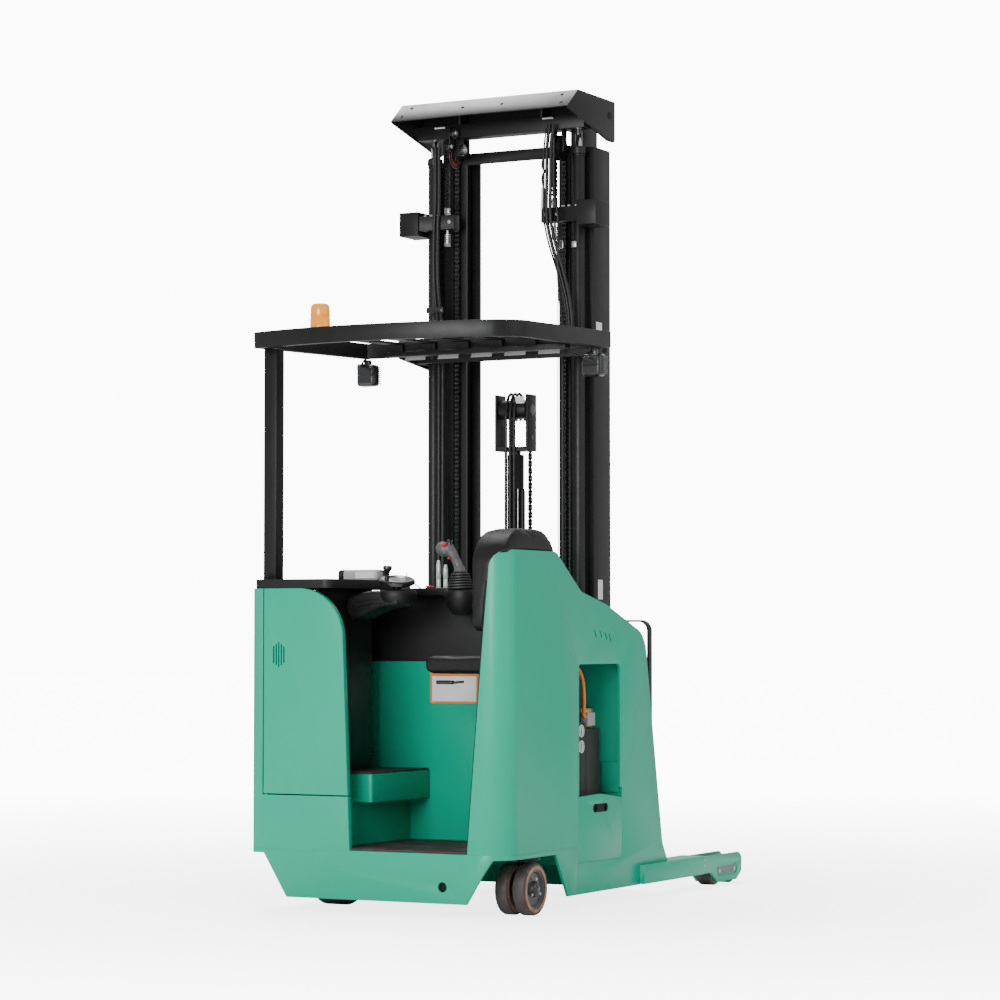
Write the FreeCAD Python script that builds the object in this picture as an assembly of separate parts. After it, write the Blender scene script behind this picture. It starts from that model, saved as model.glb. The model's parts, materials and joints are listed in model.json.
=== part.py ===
"""Stand-up reach truck: three-stage mast, scissor reach and forks, as separate parts.

Millimetres. +X is the truck's right, +Y its front (the forks), +Z up from the floor.
The model is laid out from the rear face of the body (y = 0) and moved, as it is saved,
so that the origin lies on the floor under the middle of the whole truck.
"""
import FreeCAD
import Part
import os
from math import atan2, cos, degrees, pi, radians, sin, sqrt, tan

os.makedirs("parts", exist_ok=True)

# ---------------------------------------------------------------- body shell
BODY_HALF = 583.0          # side panel's outer face from the centre line
SKIN = 12.0                # panel with its folded stiffening
SKIRT_Z = 57.0             # lower edge of the skirt
DECK_Z = 251.5             # operator's floor, under the mat
DECK_T = 12.0
CORNER_LEFT_R = 28.0       # rear corners, seen from above
CORNER_RIGHT_R = 120.0
PANEL_GAP = 0.3            # between plates that only touch
FAR = 5000.0               # past every face of the truck
LEFT_TOP_Z = 1298.0
RIGHT_TOP_Z = 1444.0
CABIN_FRONT_Y = 660.0      # front wall of the operator's compartment
CABIN_WALL = 12.0
ARCH_TOP_Z = 231.0         # wheel arch at the rear corners
ARCH_FRONT_Y = 437.0
ARCH_FOOT_Y = 549.0
ARCH_REAR_FOOT_X = BODY_HALF - 171.0
ARCH_REAR_TOP_X = BODY_HALF - 63.0
BODY_NOSE_Y = 1500.0       # foot of the side panel on the leg
SLOPE_REAR_Y = 668.0       # corners of the side panels' upper edge
SLOPE_MID_Y = 900.0
SLOPE_FRONT_Y = 1275.0
SLOPE_REAR_Z = LEFT_TOP_Z - 12.0
SLOPE_MID_Z = LEFT_TOP_Z - 61.0
SLOPE_FRONT_Z = LEFT_TOP_Z - 188.0
SEAM_Y = 628.0             # skirt ends here and the side panels reach down
TOW_HOLE_X = 305.0
TOW_HOLE_Z = 122.0
TOW_HOLE_R = 20.0

# entry between the two rear columns
ENTRY_LEFT_X = -118.0
ENTRY_RIGHT_X = BODY_HALF - 167.3
ENTRY_LEFT_TOP_X = -160.0
ENTRY_RIGHT_TOP_X = BODY_HALF - 71.0
LEFT_SHOULDER_R = 205.0
RIGHT_SHOULDER_R = 75.0
COLUMN_FLANGE = 25.0       # depth of the columns' folded rear edge

# rear door over the electrics, in the left column
DOOR_SEAM_X = 56.0 - BODY_HALF
DOOR_SEAM_Z = 465.0
DOOR_GAP = 5.0
DOOR_PIN_X = DOOR_SEAM_X + 13.0  # hidden upright hinge pin of the rear door
DOOR_PIN_Y = 8.0
DOOR_PIN_R = 4.0
DOOR_PIN_L = 40.0
VENT_X = -452.0            # five upright slots in the rear door
VENT_Z = 1030.0

# battery bay with its side window and lift-out panel
BAY_FLOOR_Z = 183.0
BAY_FRONT_Y = 1048.0
WINDOW_REAR_Y = 638.0
WINDOW_FRONT_Y = 1030.0
WINDOW_TOP_Z = 990.0
WINDOW_SILL_Z = 475.0
WINDOW_R = 22.0
WINDOW_RISE = 24.0         # height of the arched top of the lower panel
PANEL_SLOTS = ((797.0, 1116.0), (849.0, 1113.0), (896.0, 1106.0), (934.0, 1099.0))
PANEL_SLOT_H = 30.0
PANEL_FRONT_Y = 1046.0
HAND_SLOT_W = 62.0
HAND_SLOT_H = 22.0
HOOD_DROP = 5.0            # bay cover below the side panels' edge
HOOD_COVER_T = 8.0
BATTERY_HALF = BODY_HALF - 83.0
BATTERY_LENGTH = 190.0
BATTERY_HEIGHT = 560.0
BATTERY_CLEAR = 18.0
PLUG_LENGTH = 70.0
PLUG_H = 55.0
CABLE_R = 6.0

# cladding and the operator's step
COVER_RIGHT_X = -290.0     # cover of the traction motor
COVER_FRONT_Y = 470.0
COVER_T = 4.0
STEP_WALL_X = -209.0       # wall of the drive wheel's well, under the step
STEP_RIGHT_X = -115.0
STEP_REAR_Y = 170.0
STEP_TOP_Z = 548.0
STEP_DEPTH = 114.0
MAT_T = 8.0
MAT_INSET = 5.0
KICK_TOP_Z = 1000.0
KICK_LEFT_X = STEP_RIGHT_X - 305.0
KICK_T = 8.0
LINER_T = 10.0
LINING_TOP_Z = 1314.0

# dash, display, steering pod and lever pod
DASH_T = 37.0
DASH_RIGHT_X = -215.0
DASH_BAR_W = 105.0
DASH_BAR_DROP = 24.0
DASH_BAR_T = 30.0
DISPLAY_W = 190.0
DISPLAY_D = 60.0
DISPLAY_H = 46.0
DISPLAY_X = -345.0
DISPLAY_Y = 470.0
WHEEL_POS = (-72.0, 300.0, 1318.0)
WHEEL_R = 74.0
WHEEL_T = 24.0
WHEEL_LEAN = 14.0          # degrees, towards the operator
KNOB_R = 19.0
KNOB_H = 52.0
KNOB_OFFSET = 48.0
POD_HALF = 62.0
POD_H = 80.0
LEVER_X = 114.0
LEVER_Y = 520.0
LEVER_POD_R = 66.0
LEVER_POD_H = 82.0
LEVER_TOP_Z = 1296.0
BOOT_R = 52.0
BOOT_H = 96.0
GRIP_R = 22.0
GRIP_H = 92.0
GRIP_LEAN = 14.0

# backrest pad and perch seat, on the right column
PAD_T = 62.0
PAD_BOTTOM_Z = 1120.0
PAD_TOP_Z = 1528.0
PAD_DEPTH = 470.0
PAD_R = 150.0
SEAT_TOP_Z = 1022.0
SEAT_T = 62.0
SEAT_W = 285.0
SEAT_D = 260.0
SEAT_REAR_Y = 150.0
SEAT_PIVOT_R = 9.0

# overhead guard
GUARD_TOP_Z = 2345.0
GUARD_RIM_H = 66.0
GUARD_RIM_T = 30.0
GUARD_LEFT_X = 2.0 - BODY_HALF
GUARD_RIGHT_X = BODY_HALF + 23.0
GUARD_REAR_Y = 10.0
GUARD_BOW = 105.0          # rear rim's bulge behind its two ends
GUARD_FRONT_Y = 900.0
GUARD_CORNER_R = 150.0
GUARD_RISE = 26.0          # front edge above the rear edge
GUARD_BAR_COUNT = 6
GUARD_BAR_W = 60.0
GUARD_BAR_T = 10.0
GUARD_CROSS_HALF = 430.0
GUARD_CROSS_Y = 848.0
GUARD_CROSS_DROP = 62.0
GUARD_CROSS_H = 22.0
POST_W = 60.0
POST_Y = 70.0
BEACON_POS = (-390.0, 215.0)
BEACON_R = 40.0
BEACON_H = 88.0
LIGHT_W = 88.0
LIGHT_D = 62.0
LIGHT_H = 100.0
LIGHT_LEFT = (GUARD_LEFT_X + 51.0, 840.0)
LIGHT_RIGHT = (GUARD_RIGHT_X - 50.0, 840.0)  # support legs and load wheels
LEG_OUT_X = BODY_HALF + 23.0
LEG_IN_X = LEG_OUT_X - 106.0
LEG_REAR_Y = 1218.0
LEG_BOTTOM_Z = 59.0
LEG_TOP_Z = 140.0
LEG_WALL = 12.0
HOUSING_REAR_Y = 1830.0
HOUSING_FRONT_Y = 2243.0
HOUSING_TOP_Z = 135.0
HOUSING_LOW_Z = 14.0
LOAD_WHEEL_R = 63.5
LOAD_WHEEL_W = 68.0
LOAD_WHEEL_REAR_Y = 1993.0
LOAD_WHEEL_PITCH = 170.0
LOAD_AXLE_R = 12.5
AXLE_RECESS = 3.0
RUN_CLEAR = 0.3            # running clearance on a shaft

# drive wheel and caster
DRIVE_X = -385.0
DRIVE_Y = 370.0
DRIVE_R = 171.5
DRIVE_W = 114.0
DRIVE_BORE_R = 30.0
DRIVE_TURRET_R = 125.0
DRIVE_TURRET_Z = 398.0
DRIVE_TURRET_T = 26.0
DRIVE_MOTOR_R = 84.0
DRIVE_MOTOR_H = 420.0
WELL_CLEAR = 5.0
CASTER_PIVOT_X = BODY_HALF - 78.0
CASTER_WHEEL_X = CASTER_PIVOT_X
CASTER_PIVOT_Y = 325.0
CASTER_TRAIL = 40.0
CASTER_R = 104.5
CASTER_W = 55.0
CASTER_SPAN = 134.0        # over both wheels
CASTER_AXLE_R = 10.0
CASTER_CROWN_Z = 216.0
CASTER_CROWN_T = 14.0
CASTER_CROWN_R = 60.0
CASTER_SEAT_Z = 262.0

# mast: each stage is a pair of channels that open inwards
HOOD_TOP_Z = 3411.0
MAST_MID_Y = 1240.0
OUTER_X = 400.0
OUTER_DEPTH = 160.0
STAGE_WIDTH = 54.0
STAGE_CLEAR = 5.0
DEPTH_STEP = 10.0
FLANGE_T = 14.0
WEB_T = 11.0
OUTER_BOTTOM_Z = 60.0
OUTER_TOP_Z = HOOD_TOP_Z - 211.0
MIDDLE_BOTTOM_Z = 120.0
MIDDLE_TOP_Z = HOOD_TOP_Z - 111.0
INNER_BOTTOM_Z = 130.0
INNER_TOP_Z = HOOD_TOP_Z - 196.0
ROLLER_W = 34.0
ROLLER_Z = 420.0
ROLLER_PIN_R = 15.0
MAST_TIE_Z = 2288.0
MAST_TIE_H = 110.0
MAST_TIE_T = 22.0
MAST_TIE_Y = 1030.0
MAST_ARM_T = 14.0          # plates that carry the tie past the cylinders
BASE_REAR_Y = 1100.0
BASE_FRONT_Y = 1345.0
BASE_H = 45.0

# main lift cylinders behind the outer rails
CYL_X = 353.0
CYL_Y = 1110.0
CYL_R = 26.0
CYL_BORE_R = 20.5
CYL_FOOT_Z = 105.0
CYL_TOP_Z = OUTER_TOP_Z - 5.0
ROD_R = 15.0
ROD_FOOT_Z = 640.0
PISTON_H = 60.0

# head of the middle stage: cross tie, chain sheaves and hood
HEAD_Z = HOOD_TOP_Z - 143.0
HEAD_H = 60.0
HEAD_REAR_Y = MAST_MID_Y - 184.0
HEAD_FRONT_Y = MAST_MID_Y - 100.0
HEAD_HALF = 405.0
SHEAVE_X = 262.0
SHEAVE_PITCH_R = 45.0
SHEAVE_R = 54.0
SHEAVE_W = 26.0
SHEAVE_Z = HEAD_Z - 72.0
SHEAVE_PIN_R = 12.0
CHAIN_Y = MAST_MID_Y - 86.0  # strand between the sheave and the inner stage
CHAIN_T = 18.0
CHAIN_ANCHOR_Z = HOOD_TOP_Z - 476.0
CHAIN_FOOT_Z = 300.0
HOOD_HALF = 427.0
HOOD_T = 6.0
HOOD_REAR_Y = 854.0
HOOD_REAR_Z = HOOD_TOP_Z - 84.0
HOOD_BREAK_Y = HOOD_REAR_Y + 101.0
HOOD_FRONT_Y = 1313.0
HOOD_LOW_Z = HOOD_TOP_Z - 178.0
HOOD_GAP_HALF = 300.0      # cut that lets the inner stage rise
HOOD_STAY_X = 200.0
ANCHOR_Z = HOOD_TOP_Z - 543.0
ANCHOR_H = 62.0
ANCHOR_IN_X = 212.0
ANCHOR_OUT_X = 478.0
ANCHOR_REAR_Y = 1030.0
ANCHOR_FRONT_Y = 1080.0
ANCHOR_BOX_H = 104.0
HOSE_R = 7.5
HOSE_FOOT_Z = 1372.0

# free-lift cylinder on the inner stage
FREE_Y = MAST_MID_Y - 36.0
FREE_R = 36.0
FREE_BORE_R = 29.0
FREE_ROD_R = 22.0
FREE_FOOT_Z = 240.0
FREE_TOP_Z = 1890.0
FREE_ROD_FOOT_Z = 480.0
FREE_HEAD_Z = 1905.0
FREE_HEAD_TOP_Z = 2150.0
FREE_HEAD_HALF = 80.0
FREE_HEAD_T = 10.0
FREE_HEAD_REAR_Y = 1160.0
FREE_HEAD_FRONT_Y = 1244.0
FREE_SHEAVE_R = 42.0
FREE_SHEAVE_X = 46.0
FREE_CHAIN_W = 18.0
FREE_CHAIN_T = 12.0
INNER_TIE_Z = 150.0
INNER_TIE_T = 14.0
INNER_HEAD_H = 50.0

# lift carriage, scissor reach and fork carriage
CARRIAGE_BOTTOM_Z = 130.0
CARRIAGE_TOP_Z = 985.0
CARRIAGE_OUT_X = 222.0
CARRIAGE_T = 16.0
CARRIAGE_REAR_Y = 1250.0
CARRIAGE_PLATE_Y = 1197.0
CARRIAGE_FRONT_Y = 1356.0
CARRIAGE_TIE_H = 80.0
CARRIAGE_ROLLER_Z = (240.0, 820.0)
ARM_LENGTH = 780.0
ARM_REST = 12.0            # degrees from upright, retracted
ARM_W = 66.0
ARM_T = 18.0
ARM_A_X = 180.0            # middle of the arm that hangs from the lift carriage
ARM_B_X = 150.0
ARM_PIN_R = 14.0
TRACK_T = 7.0              # flanges the scissor's lower rollers run between
TRACK_TOP_Z = 580.0
ARM_ROLLER_R = 22.0
PIN_TOP_Z = 925.0
PIN_CARRIAGE_Y = 1316.0
FRONT_PLATE_T = 16.0
FRONT_IN_X = 102.0
FRONT_BOTTOM_Z = 105.0
FRONT_TOP_Z = 975.0
FRONT_REAR_Y = 1432.0
FRONT_FACE_Y = 1509.0
TILT_PIN_Z = 640.0
TILT_PIN_Y = 1476.0
TILT_PIN_R = 15.0
EAR_X = 197.0              # lugs of the fork carriage on the tilt pin
EAR_T = 14.0
FORK_BAR_HALF = 430.0
FORK_BAR_T = 28.0
FORK_BAR_H = 92.0
FORK_BAR_LOW_Z = 120.0
FORK_BAR_RISE = 407.0      # over both bars
FORK_BAR_REAR_Y = 1536.0
FORK_X = 195.0
FORK_W = 100.0
FORK_T = 40.0
FORK_LENGTH = 1070.0
FORK_LOW_Z = 48.0
FORK_TIP_T = 10.0
FORK_TIP_TAPER = 420.0
BACKREST_HALF = 478.0
BACKREST_TOP_Z = 1176.0
BACKREST_RAIL_Z = 562.0
BACKREST_BAR = 35.0
BACKREST_T = 9.0
BACKREST_R = 48.0
BACKREST_BAR_COUNT = 6

FORK_HEEL_Y = FORK_BAR_REAR_Y + FORK_BAR_T + PANEL_GAP
FORK_TIP_Y = FORK_HEEL_Y + FORK_T + FORK_LENGTH
GUARD_BACK_Y = GUARD_REAR_Y - GUARD_BOW
ORIGIN_Y = (GUARD_BACK_Y + FORK_TIP_Y) / 2.0


# ---------------------------------------------------------------- helpers
def vec(x, y, z):
    return FreeCAD.Vector(x, y, z)


def box(x0, x1, y0, y1, z0, z1):
    return Part.makeBox(x1 - x0, y1 - y0, z1 - z0, vec(x0, y0, z0))


def rod_x(x0, x1, y, z, r):
    return Part.makeCylinder(r, x1 - x0, vec(x0, y, z), vec(1, 0, 0))


def rod_y(y0, y1, x, z, r):
    return Part.makeCylinder(r, y1 - y0, vec(x, y0, z), vec(0, 1, 0))


def rod_z(z0, z1, x, y, r):
    return Part.makeCylinder(r, z1 - z0, vec(x, y, z0), vec(0, 0, 1))


def outline(corners):
    """Closed list of edges through (u, v, radius) corners, each rounded by its radius."""
    count = len(corners)
    starts, ends, arcs = [], [], []
    for i in range(count):
        u, v, r = corners[i]
        before = corners[i - 1]
        after = corners[(i + 1) % count]
        here = vec(u, v, 0)
        back = (vec(before[0], before[1], 0) - here)
        ahead = (vec(after[0], after[1], 0) - here)
        back.normalize()
        ahead.normalize()
        if r <= 0:
            starts.append(here)
            ends.append(here)
            arcs.append(None)
            continue
        half = back.getAngle(ahead) / 2.0
        reach = r / tan(half)
        middle = back + ahead
        middle.normalize()
        centre = here + middle * (r / sin(half))
        top = centre - middle * r
        starts.append(here + back * reach)
        ends.append(here + ahead * reach)
        arcs.append(top)
    edges = []
    for i in range(count):
        if arcs[i] is not None:
            edges.append(Part.Arc(starts[i], arcs[i], ends[i]).toShape())
        following = starts[(i + 1) % count]
        if ends[i].distanceToPoint(following) > 1e-6:
            edges.append(Part.LineSegment(ends[i], following).toShape())
    return edges


def prism(corners, low, high, plane):
    """Rounded outline pushed from low to high; plane names the outline's two axes."""
    face = Part.Face(Part.Wire(outline([(c + (0,))[:3] for c in corners])))
    solid = face.extrude(vec(0, 0, high - low))
    if plane == "xy":
        turn = FreeCAD.Matrix(1, 0, 0, 0, 0, 1, 0, 0, 0, 0, 1, low, 0, 0, 0, 1)
    elif plane == "yz":
        turn = FreeCAD.Matrix(0, 0, 1, low, 1, 0, 0, 0, 0, 1, 0, 0, 0, 0, 0, 1)
    else:
        turn = FreeCAD.Matrix(1, 0, 0, 0, 0, 0, -1, high, 0, 1, 0, 0, 0, 0, 0, 1)
    solid.Placement = FreeCAD.Placement(turn)
    return solid


def mirrored(shape):
    return shape.mirror(vec(0, 0, 0), vec(1, 0, 0))


def join(shapes):
    first = shapes[0]
    rest = shapes[1:]
    return first.fuse(rest).removeSplitter() if rest else first


def both_sides(shape):
    return [shape, mirrored(shape)]


def turned(shape, centre, axis, angle):
    copy = shape.copy()
    copy.rotate(vec(*centre), vec(*axis), angle)
    return copy


def tube(points, radius):
    """Round bar along straight runs between the points, mitred at each bend."""
    ends = [vec(*p) for p in points]
    ring = Part.Wire(Part.makeCircle(radius, ends[0], ends[1] - ends[0]))
    return Part.makePolygon(ends).makePipeShell([ring], True, False, 1)


def save(name, shape):
    """Move a part to the truck's origin and write its STEP file."""
    solids = shape.Solids
    if not solids or not shape.isValid():
        raise ValueError("bad solid: " + name)
    placed = Part.makeCompound(solids) if len(solids) > 1 else solids[0].copy()
    placed.translate(vec(0, -ORIGIN_Y, 0))
    placed.exportStep("parts/" + name + ".step")
    print(name, len(solids), round(shape.Volume / 1e6, 3))


# ---------------------------------------------------------------- body shell
def plan_outline(inset):
    """Body seen from above, up to the mast's bulkhead."""
    x = BODY_HALF - inset
    left_r = max(CORNER_LEFT_R - inset, 1.0)
    right_r = max(CORNER_RIGHT_R - inset, 1.0)
    return [(-x, inset, left_r), (x, inset, right_r), (x, BODY_NOSE_Y, 0), (-x, BODY_NOSE_Y, 0)]


def plan_prism(inset, z0, z1):
    return prism(plan_outline(inset), z0, z1, "xy")


def side_outline(top_z, shoulder_y, inset):
    """Side panel seen from the side, with its sloping hood line and its foot on the leg."""
    low = SKIRT_Z - 1.0 if inset else SKIRT_Z
    return [(0 + inset, low, 0),
            (LEG_REAR_Y - PANEL_GAP, low, 0),
            (LEG_REAR_Y - PANEL_GAP, LEG_TOP_Z + PANEL_GAP, 0),
            (BODY_NOSE_Y - inset, LEG_TOP_Z + PANEL_GAP, 0),
            (1447 - inset, 222, 60),
            (SLOPE_FRONT_Y - inset, SLOPE_FRONT_Z - inset, 120),
            (SLOPE_MID_Y, SLOPE_MID_Z - inset, 300),
            (SLOPE_REAR_Y, SLOPE_REAR_Z - inset, 60),
            (shoulder_y, top_z - inset, 60),
            (0 + inset, top_z - inset, 0)]


def entry_x(z):
    """Edge of the right column at a height."""
    rise = (z - DECK_Z) / (RIGHT_TOP_Z - DECK_Z)
    return ENTRY_RIGHT_X + rise * (ENTRY_RIGHT_TOP_X - ENTRY_RIGHT_X)


def hood_z(y):
    """Height of the side panels' upper edge ahead of the compartment."""
    if y < SLOPE_MID_Y:
        rise = (SLOPE_REAR_Z - SLOPE_MID_Z) / (SLOPE_MID_Y - SLOPE_REAR_Y)
        return SLOPE_MID_Z + (SLOPE_MID_Y - y) * rise
    fall = (SLOPE_MID_Z - SLOPE_FRONT_Z) / (SLOPE_FRONT_Y - SLOPE_MID_Y)
    return SLOPE_MID_Z - (y - SLOPE_MID_Y) * fall


def wheel_arches():
    """Space of both rear wheel arches, through the skirt."""
    across = [(ARCH_REAR_FOOT_X, SKIRT_Z - 20), (ARCH_REAR_FOOT_X, SKIRT_Z),
              (ARCH_REAR_TOP_X, ARCH_TOP_Z), (BODY_HALF + 20, ARCH_TOP_Z),
              (BODY_HALF + 20, SKIRT_Z - 20)]
    along = [(-20, SKIRT_Z - 20), (-20, ARCH_TOP_Z), (ARCH_FRONT_Y, ARCH_TOP_Z),
             (ARCH_FOOT_Y, SKIRT_Z), (ARCH_FOOT_Y, SKIRT_Z - 20)]
    across_solid = prism(across, -30, ARCH_FOOT_Y + 10, "xz")
    along_solid = prism(along, ARCH_REAR_FOOT_X - 10, BODY_HALF + 30, "yz")
    return both_sides(across_solid.common(along_solid))


def left_column():
    return [(-BODY_HALF, DECK_Z, 0),
            (ENTRY_LEFT_X, DECK_Z, 0),
            (ENTRY_LEFT_TOP_X, LEFT_TOP_Z, LEFT_SHOULDER_R),
            (-BODY_HALF, LEFT_TOP_Z, 0)]


def side_panel(top_z, shoulder_y):
    """Flat side panel with its fold, right-hand side, above the skirt."""
    panel = prism(side_outline(top_z, shoulder_y, 0), BODY_HALF - SKIN, BODY_HALF, "yz")
    return panel.cut(box(-FAR, FAR, -10, SEAM_Y, 0, DECK_Z))


def right_column(grow):
    return [(ENTRY_RIGHT_X - grow, DECK_Z, 0),
            (BODY_HALF, DECK_Z, 0),
            (BODY_HALF, RIGHT_TOP_Z, 0),
            (ENTRY_RIGHT_TOP_X - grow, RIGHT_TOP_Z, RIGHT_SHOULDER_R)]


def chassis_frame():
    outer = plan_prism(0, SKIRT_Z, DECK_Z)
    inner = plan_prism(SKIN, SKIRT_Z - 1, DECK_Z - DECK_T)
    front = box(-FAR, FAR, CABIN_FRONT_Y - PANEL_GAP, FAR, 0, DECK_Z + 1)
    sides = both_sides(box(BODY_HALF - SKIN - PANEL_GAP, FAR, SEAM_Y, FAR, 0, DECK_Z + 1))
    body = outer.cut([inner, front] + sides)
    well = rod_z(DECK_Z - DECK_T - 1, DECK_Z + 1, DRIVE_X, DRIVE_Y, well_radius())
    crown = rod_z(DECK_Z - DECK_T - 1, DECK_Z + 1, CASTER_PIVOT_X, CASTER_PIVOT_Y,
                  CASTER_CROWN_R + WELL_CLEAR)
    tow = rod_y(-1, SKIN + 1, TOW_HOLE_X, TOW_HOLE_Z, TOW_HOLE_R)
    body = body.cut(wheel_arches() + [well, crown, tow])
    wall = box(STEP_WALL_X - COVER_T, STEP_WALL_X, COLUMN_FLANGE + PANEL_GAP,
               CABIN_FRONT_Y - KICK_T - PANEL_GAP, DECK_Z - 1, STEP_TOP_Z - STEP_DEPTH - PANEL_GAP)
    save("chassis_frame", join([body, wall]))


def well_radius():
    """Hole in the deck that the steered wheel turns in."""
    rise = DECK_Z - DECK_T - DRIVE_R
    reach = sqrt(DRIVE_R ** 2 - rise ** 2)
    return sqrt(reach ** 2 + (DRIVE_W / 2.0) ** 2) + WELL_CLEAR


def left_side_shell():
    panel = mirrored(side_panel(LEFT_TOP_Z, 610))
    rear = prism(left_column(), 0, COLUMN_FLANGE, "xz")
    door_room = box(DOOR_SEAM_X, 0, -10, COLUMN_FLANGE + 10, DOOR_SEAM_Z, 2000)
    shell = join([panel, rear.cut(door_room)]).common(plan_prism(0, 0, 2000))
    pin = rod_z(DOOR_SEAM_Z - 10, DOOR_SEAM_Z + DOOR_PIN_L, DOOR_PIN_X, DOOR_PIN_Y, DOOR_PIN_R)
    save("left_side_shell", join([shell, pin]))


def right_shell_block(grow, inset):
    """Right column as one closed block, inset by a wall thickness."""
    side = prism(side_outline(RIGHT_TOP_Z, 440, inset), 300, BODY_HALF - inset, "yz")
    column = prism(right_column(grow), inset - 1 if inset else 0, CABIN_FRONT_Y, "xz")
    return side.common(column)


def right_side_shell():
    block = right_shell_block(0, 0)
    hollow = right_shell_block(60, SKIN).common(plan_prism(SKIN, 0, 2000))
    low = box(-FAR, FAR, -10, SEAM_Y, 0, DECK_Z)
    ahead = box(-FAR, BODY_HALF - SKIN, CABIN_FRONT_Y - PANEL_GAP, FAR, 0, FAR)
    window = prism([(WINDOW_REAR_Y, BAY_FLOOR_Z, 0), (PANEL_FRONT_Y, BAY_FLOOR_Z, 0),
                    (PANEL_FRONT_Y, WINDOW_SILL_Z, 0), (WINDOW_FRONT_Y, WINDOW_SILL_Z, 0),
                    (WINDOW_FRONT_Y, WINDOW_TOP_Z, WINDOW_R),
                    (WINDOW_REAR_Y, WINDOW_TOP_Z, WINDOW_R)],
                   BODY_HALF - SKIN - 40, BODY_HALF + 1, "yz")
    column = block.cut([hollow, low, ahead])
    shell = join([column, side_panel(RIGHT_TOP_Z, 440)]).common(plan_prism(0, 0, 2000))
    half = PANEL_SLOT_H / 2.0
    slots = [prism([(y - 13, z + half, 0), (y - 5, z + half, 0), (y + 13, z - half, 0),
                    (y + 5, z - half, 0)], BODY_HALF - SKIN - 1, BODY_HALF + 1, "yz")
             for y, z in PANEL_SLOTS]
    save("right_side_shell", shell.cut([window] + slots))


def battery_panel():
    """Lower panel that lifts out of the side window, with its hand slot."""
    edge = PANEL_GAP
    sill = WINDOW_SILL_Z - 42
    body = prism([(WINDOW_REAR_Y + edge, BAY_FLOOR_Z + edge, 0),
                  (PANEL_FRONT_Y - edge, BAY_FLOOR_Z + edge, 0),
                  (PANEL_FRONT_Y - edge, sill, 0),
                  ((WINDOW_REAR_Y + PANEL_FRONT_Y) / 2.0, sill + WINDOW_RISE, 400),
                  (WINDOW_REAR_Y + edge, sill + 18, 0)],
                 BODY_HALF - SKIN, BODY_HALF, "yz")
    mid = (WINDOW_REAR_Y + PANEL_FRONT_Y) / 2.0
    slot_z = sill - 45
    slot = prism([(mid - HAND_SLOT_W / 2, slot_z, HAND_SLOT_H / 2.1),
                  (mid + HAND_SLOT_W / 2, slot_z, HAND_SLOT_H / 2.1),
                  (mid + HAND_SLOT_W / 2, slot_z + HAND_SLOT_H, HAND_SLOT_H / 2.1),
                  (mid - HAND_SLOT_W / 2, slot_z + HAND_SLOT_H, HAND_SLOT_H / 2.1)],
                 BODY_HALF - SKIN - 1, BODY_HALF + 1, "yz")
    save("battery_panel", body.cut(slot))


def bulkhead():
    """Bay floor, the wall behind the mast and the wall in front of the operator."""
    inside = BODY_HALF - SKIN - PANEL_GAP
    base = BAY_FLOOR_Z - CABIN_WALL
    floor = box(-inside, inside, CABIN_FRONT_Y, BAY_FRONT_Y, base, BAY_FLOOR_Z)
    under = HOOD_DROP + HOOD_COVER_T + 2
    front = box(-inside, inside, BAY_FRONT_Y, BAY_FRONT_Y + CABIN_WALL, SKIRT_Z,
                hood_z(BAY_FRONT_Y + CABIN_WALL) - under)
    back = box(-inside, inside, CABIN_FRONT_Y, CABIN_FRONT_Y + CABIN_WALL, base,
               hood_z(CABIN_FRONT_Y + CABIN_WALL) - under)
    save("bulkhead", join([floor, front, back]))


def hood_top():
    """Sloping cover over the battery bay, between the side panels."""
    rear = CABIN_FRONT_Y + PANEL_GAP
    front = BAY_FRONT_Y + CABIN_WALL
    top = [(y, hood_z(y) - HOOD_DROP) for y in (rear, SLOPE_MID_Y, front)]
    low = [(y, z - HOOD_COVER_T) for y, z in reversed(top)]
    inside = BODY_HALF - SKIN - PANEL_GAP
    save("hood_top", prism(top + low, -inside, inside, "yz"))


def battery_pack():
    rear = CABIN_FRONT_Y + CABIN_WALL + BATTERY_CLEAR
    pack = box(-BATTERY_HALF, BATTERY_HALF, rear, rear + BATTERY_LENGTH, BAY_FLOOR_Z,
               BAY_FLOOR_Z + BATTERY_HEIGHT)
    save("battery_pack", pack)
    top = BAY_FLOOR_Z + BATTERY_HEIGHT
    bracket = box(BATTERY_HALF - 60, BATTERY_HALF - 52, rear + BATTERY_LENGTH, BAY_FRONT_Y,
                  top - 20, top + 60)
    plug_y = BAY_FRONT_Y - 90 - PLUG_LENGTH
    plug = box(BATTERY_HALF - 52, BATTERY_HALF - 52 + 55, plug_y, BAY_FRONT_Y - 90, top - 10,
               top - 10 + PLUG_H)
    save("battery_connector", join([bracket, plug]))
    cables = []
    for x, z, rise in ((BATTERY_HALF - 10, top + 26, 118), (BATTERY_HALF - 34, top + 10, 96)):
        cables.append(tube([(x, rear + 60, top + CABLE_R), (x, rear + 90, top + rise * 0.55),
                            (x, rear + 135, top + rise), (x, rear + 175, top + rise * 0.8),
                            (x, plug_y - 20, z), (x, plug_y - PANEL_GAP, z)], CABLE_R))
    save("battery_cables", Part.makeCompound(cables))


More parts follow.
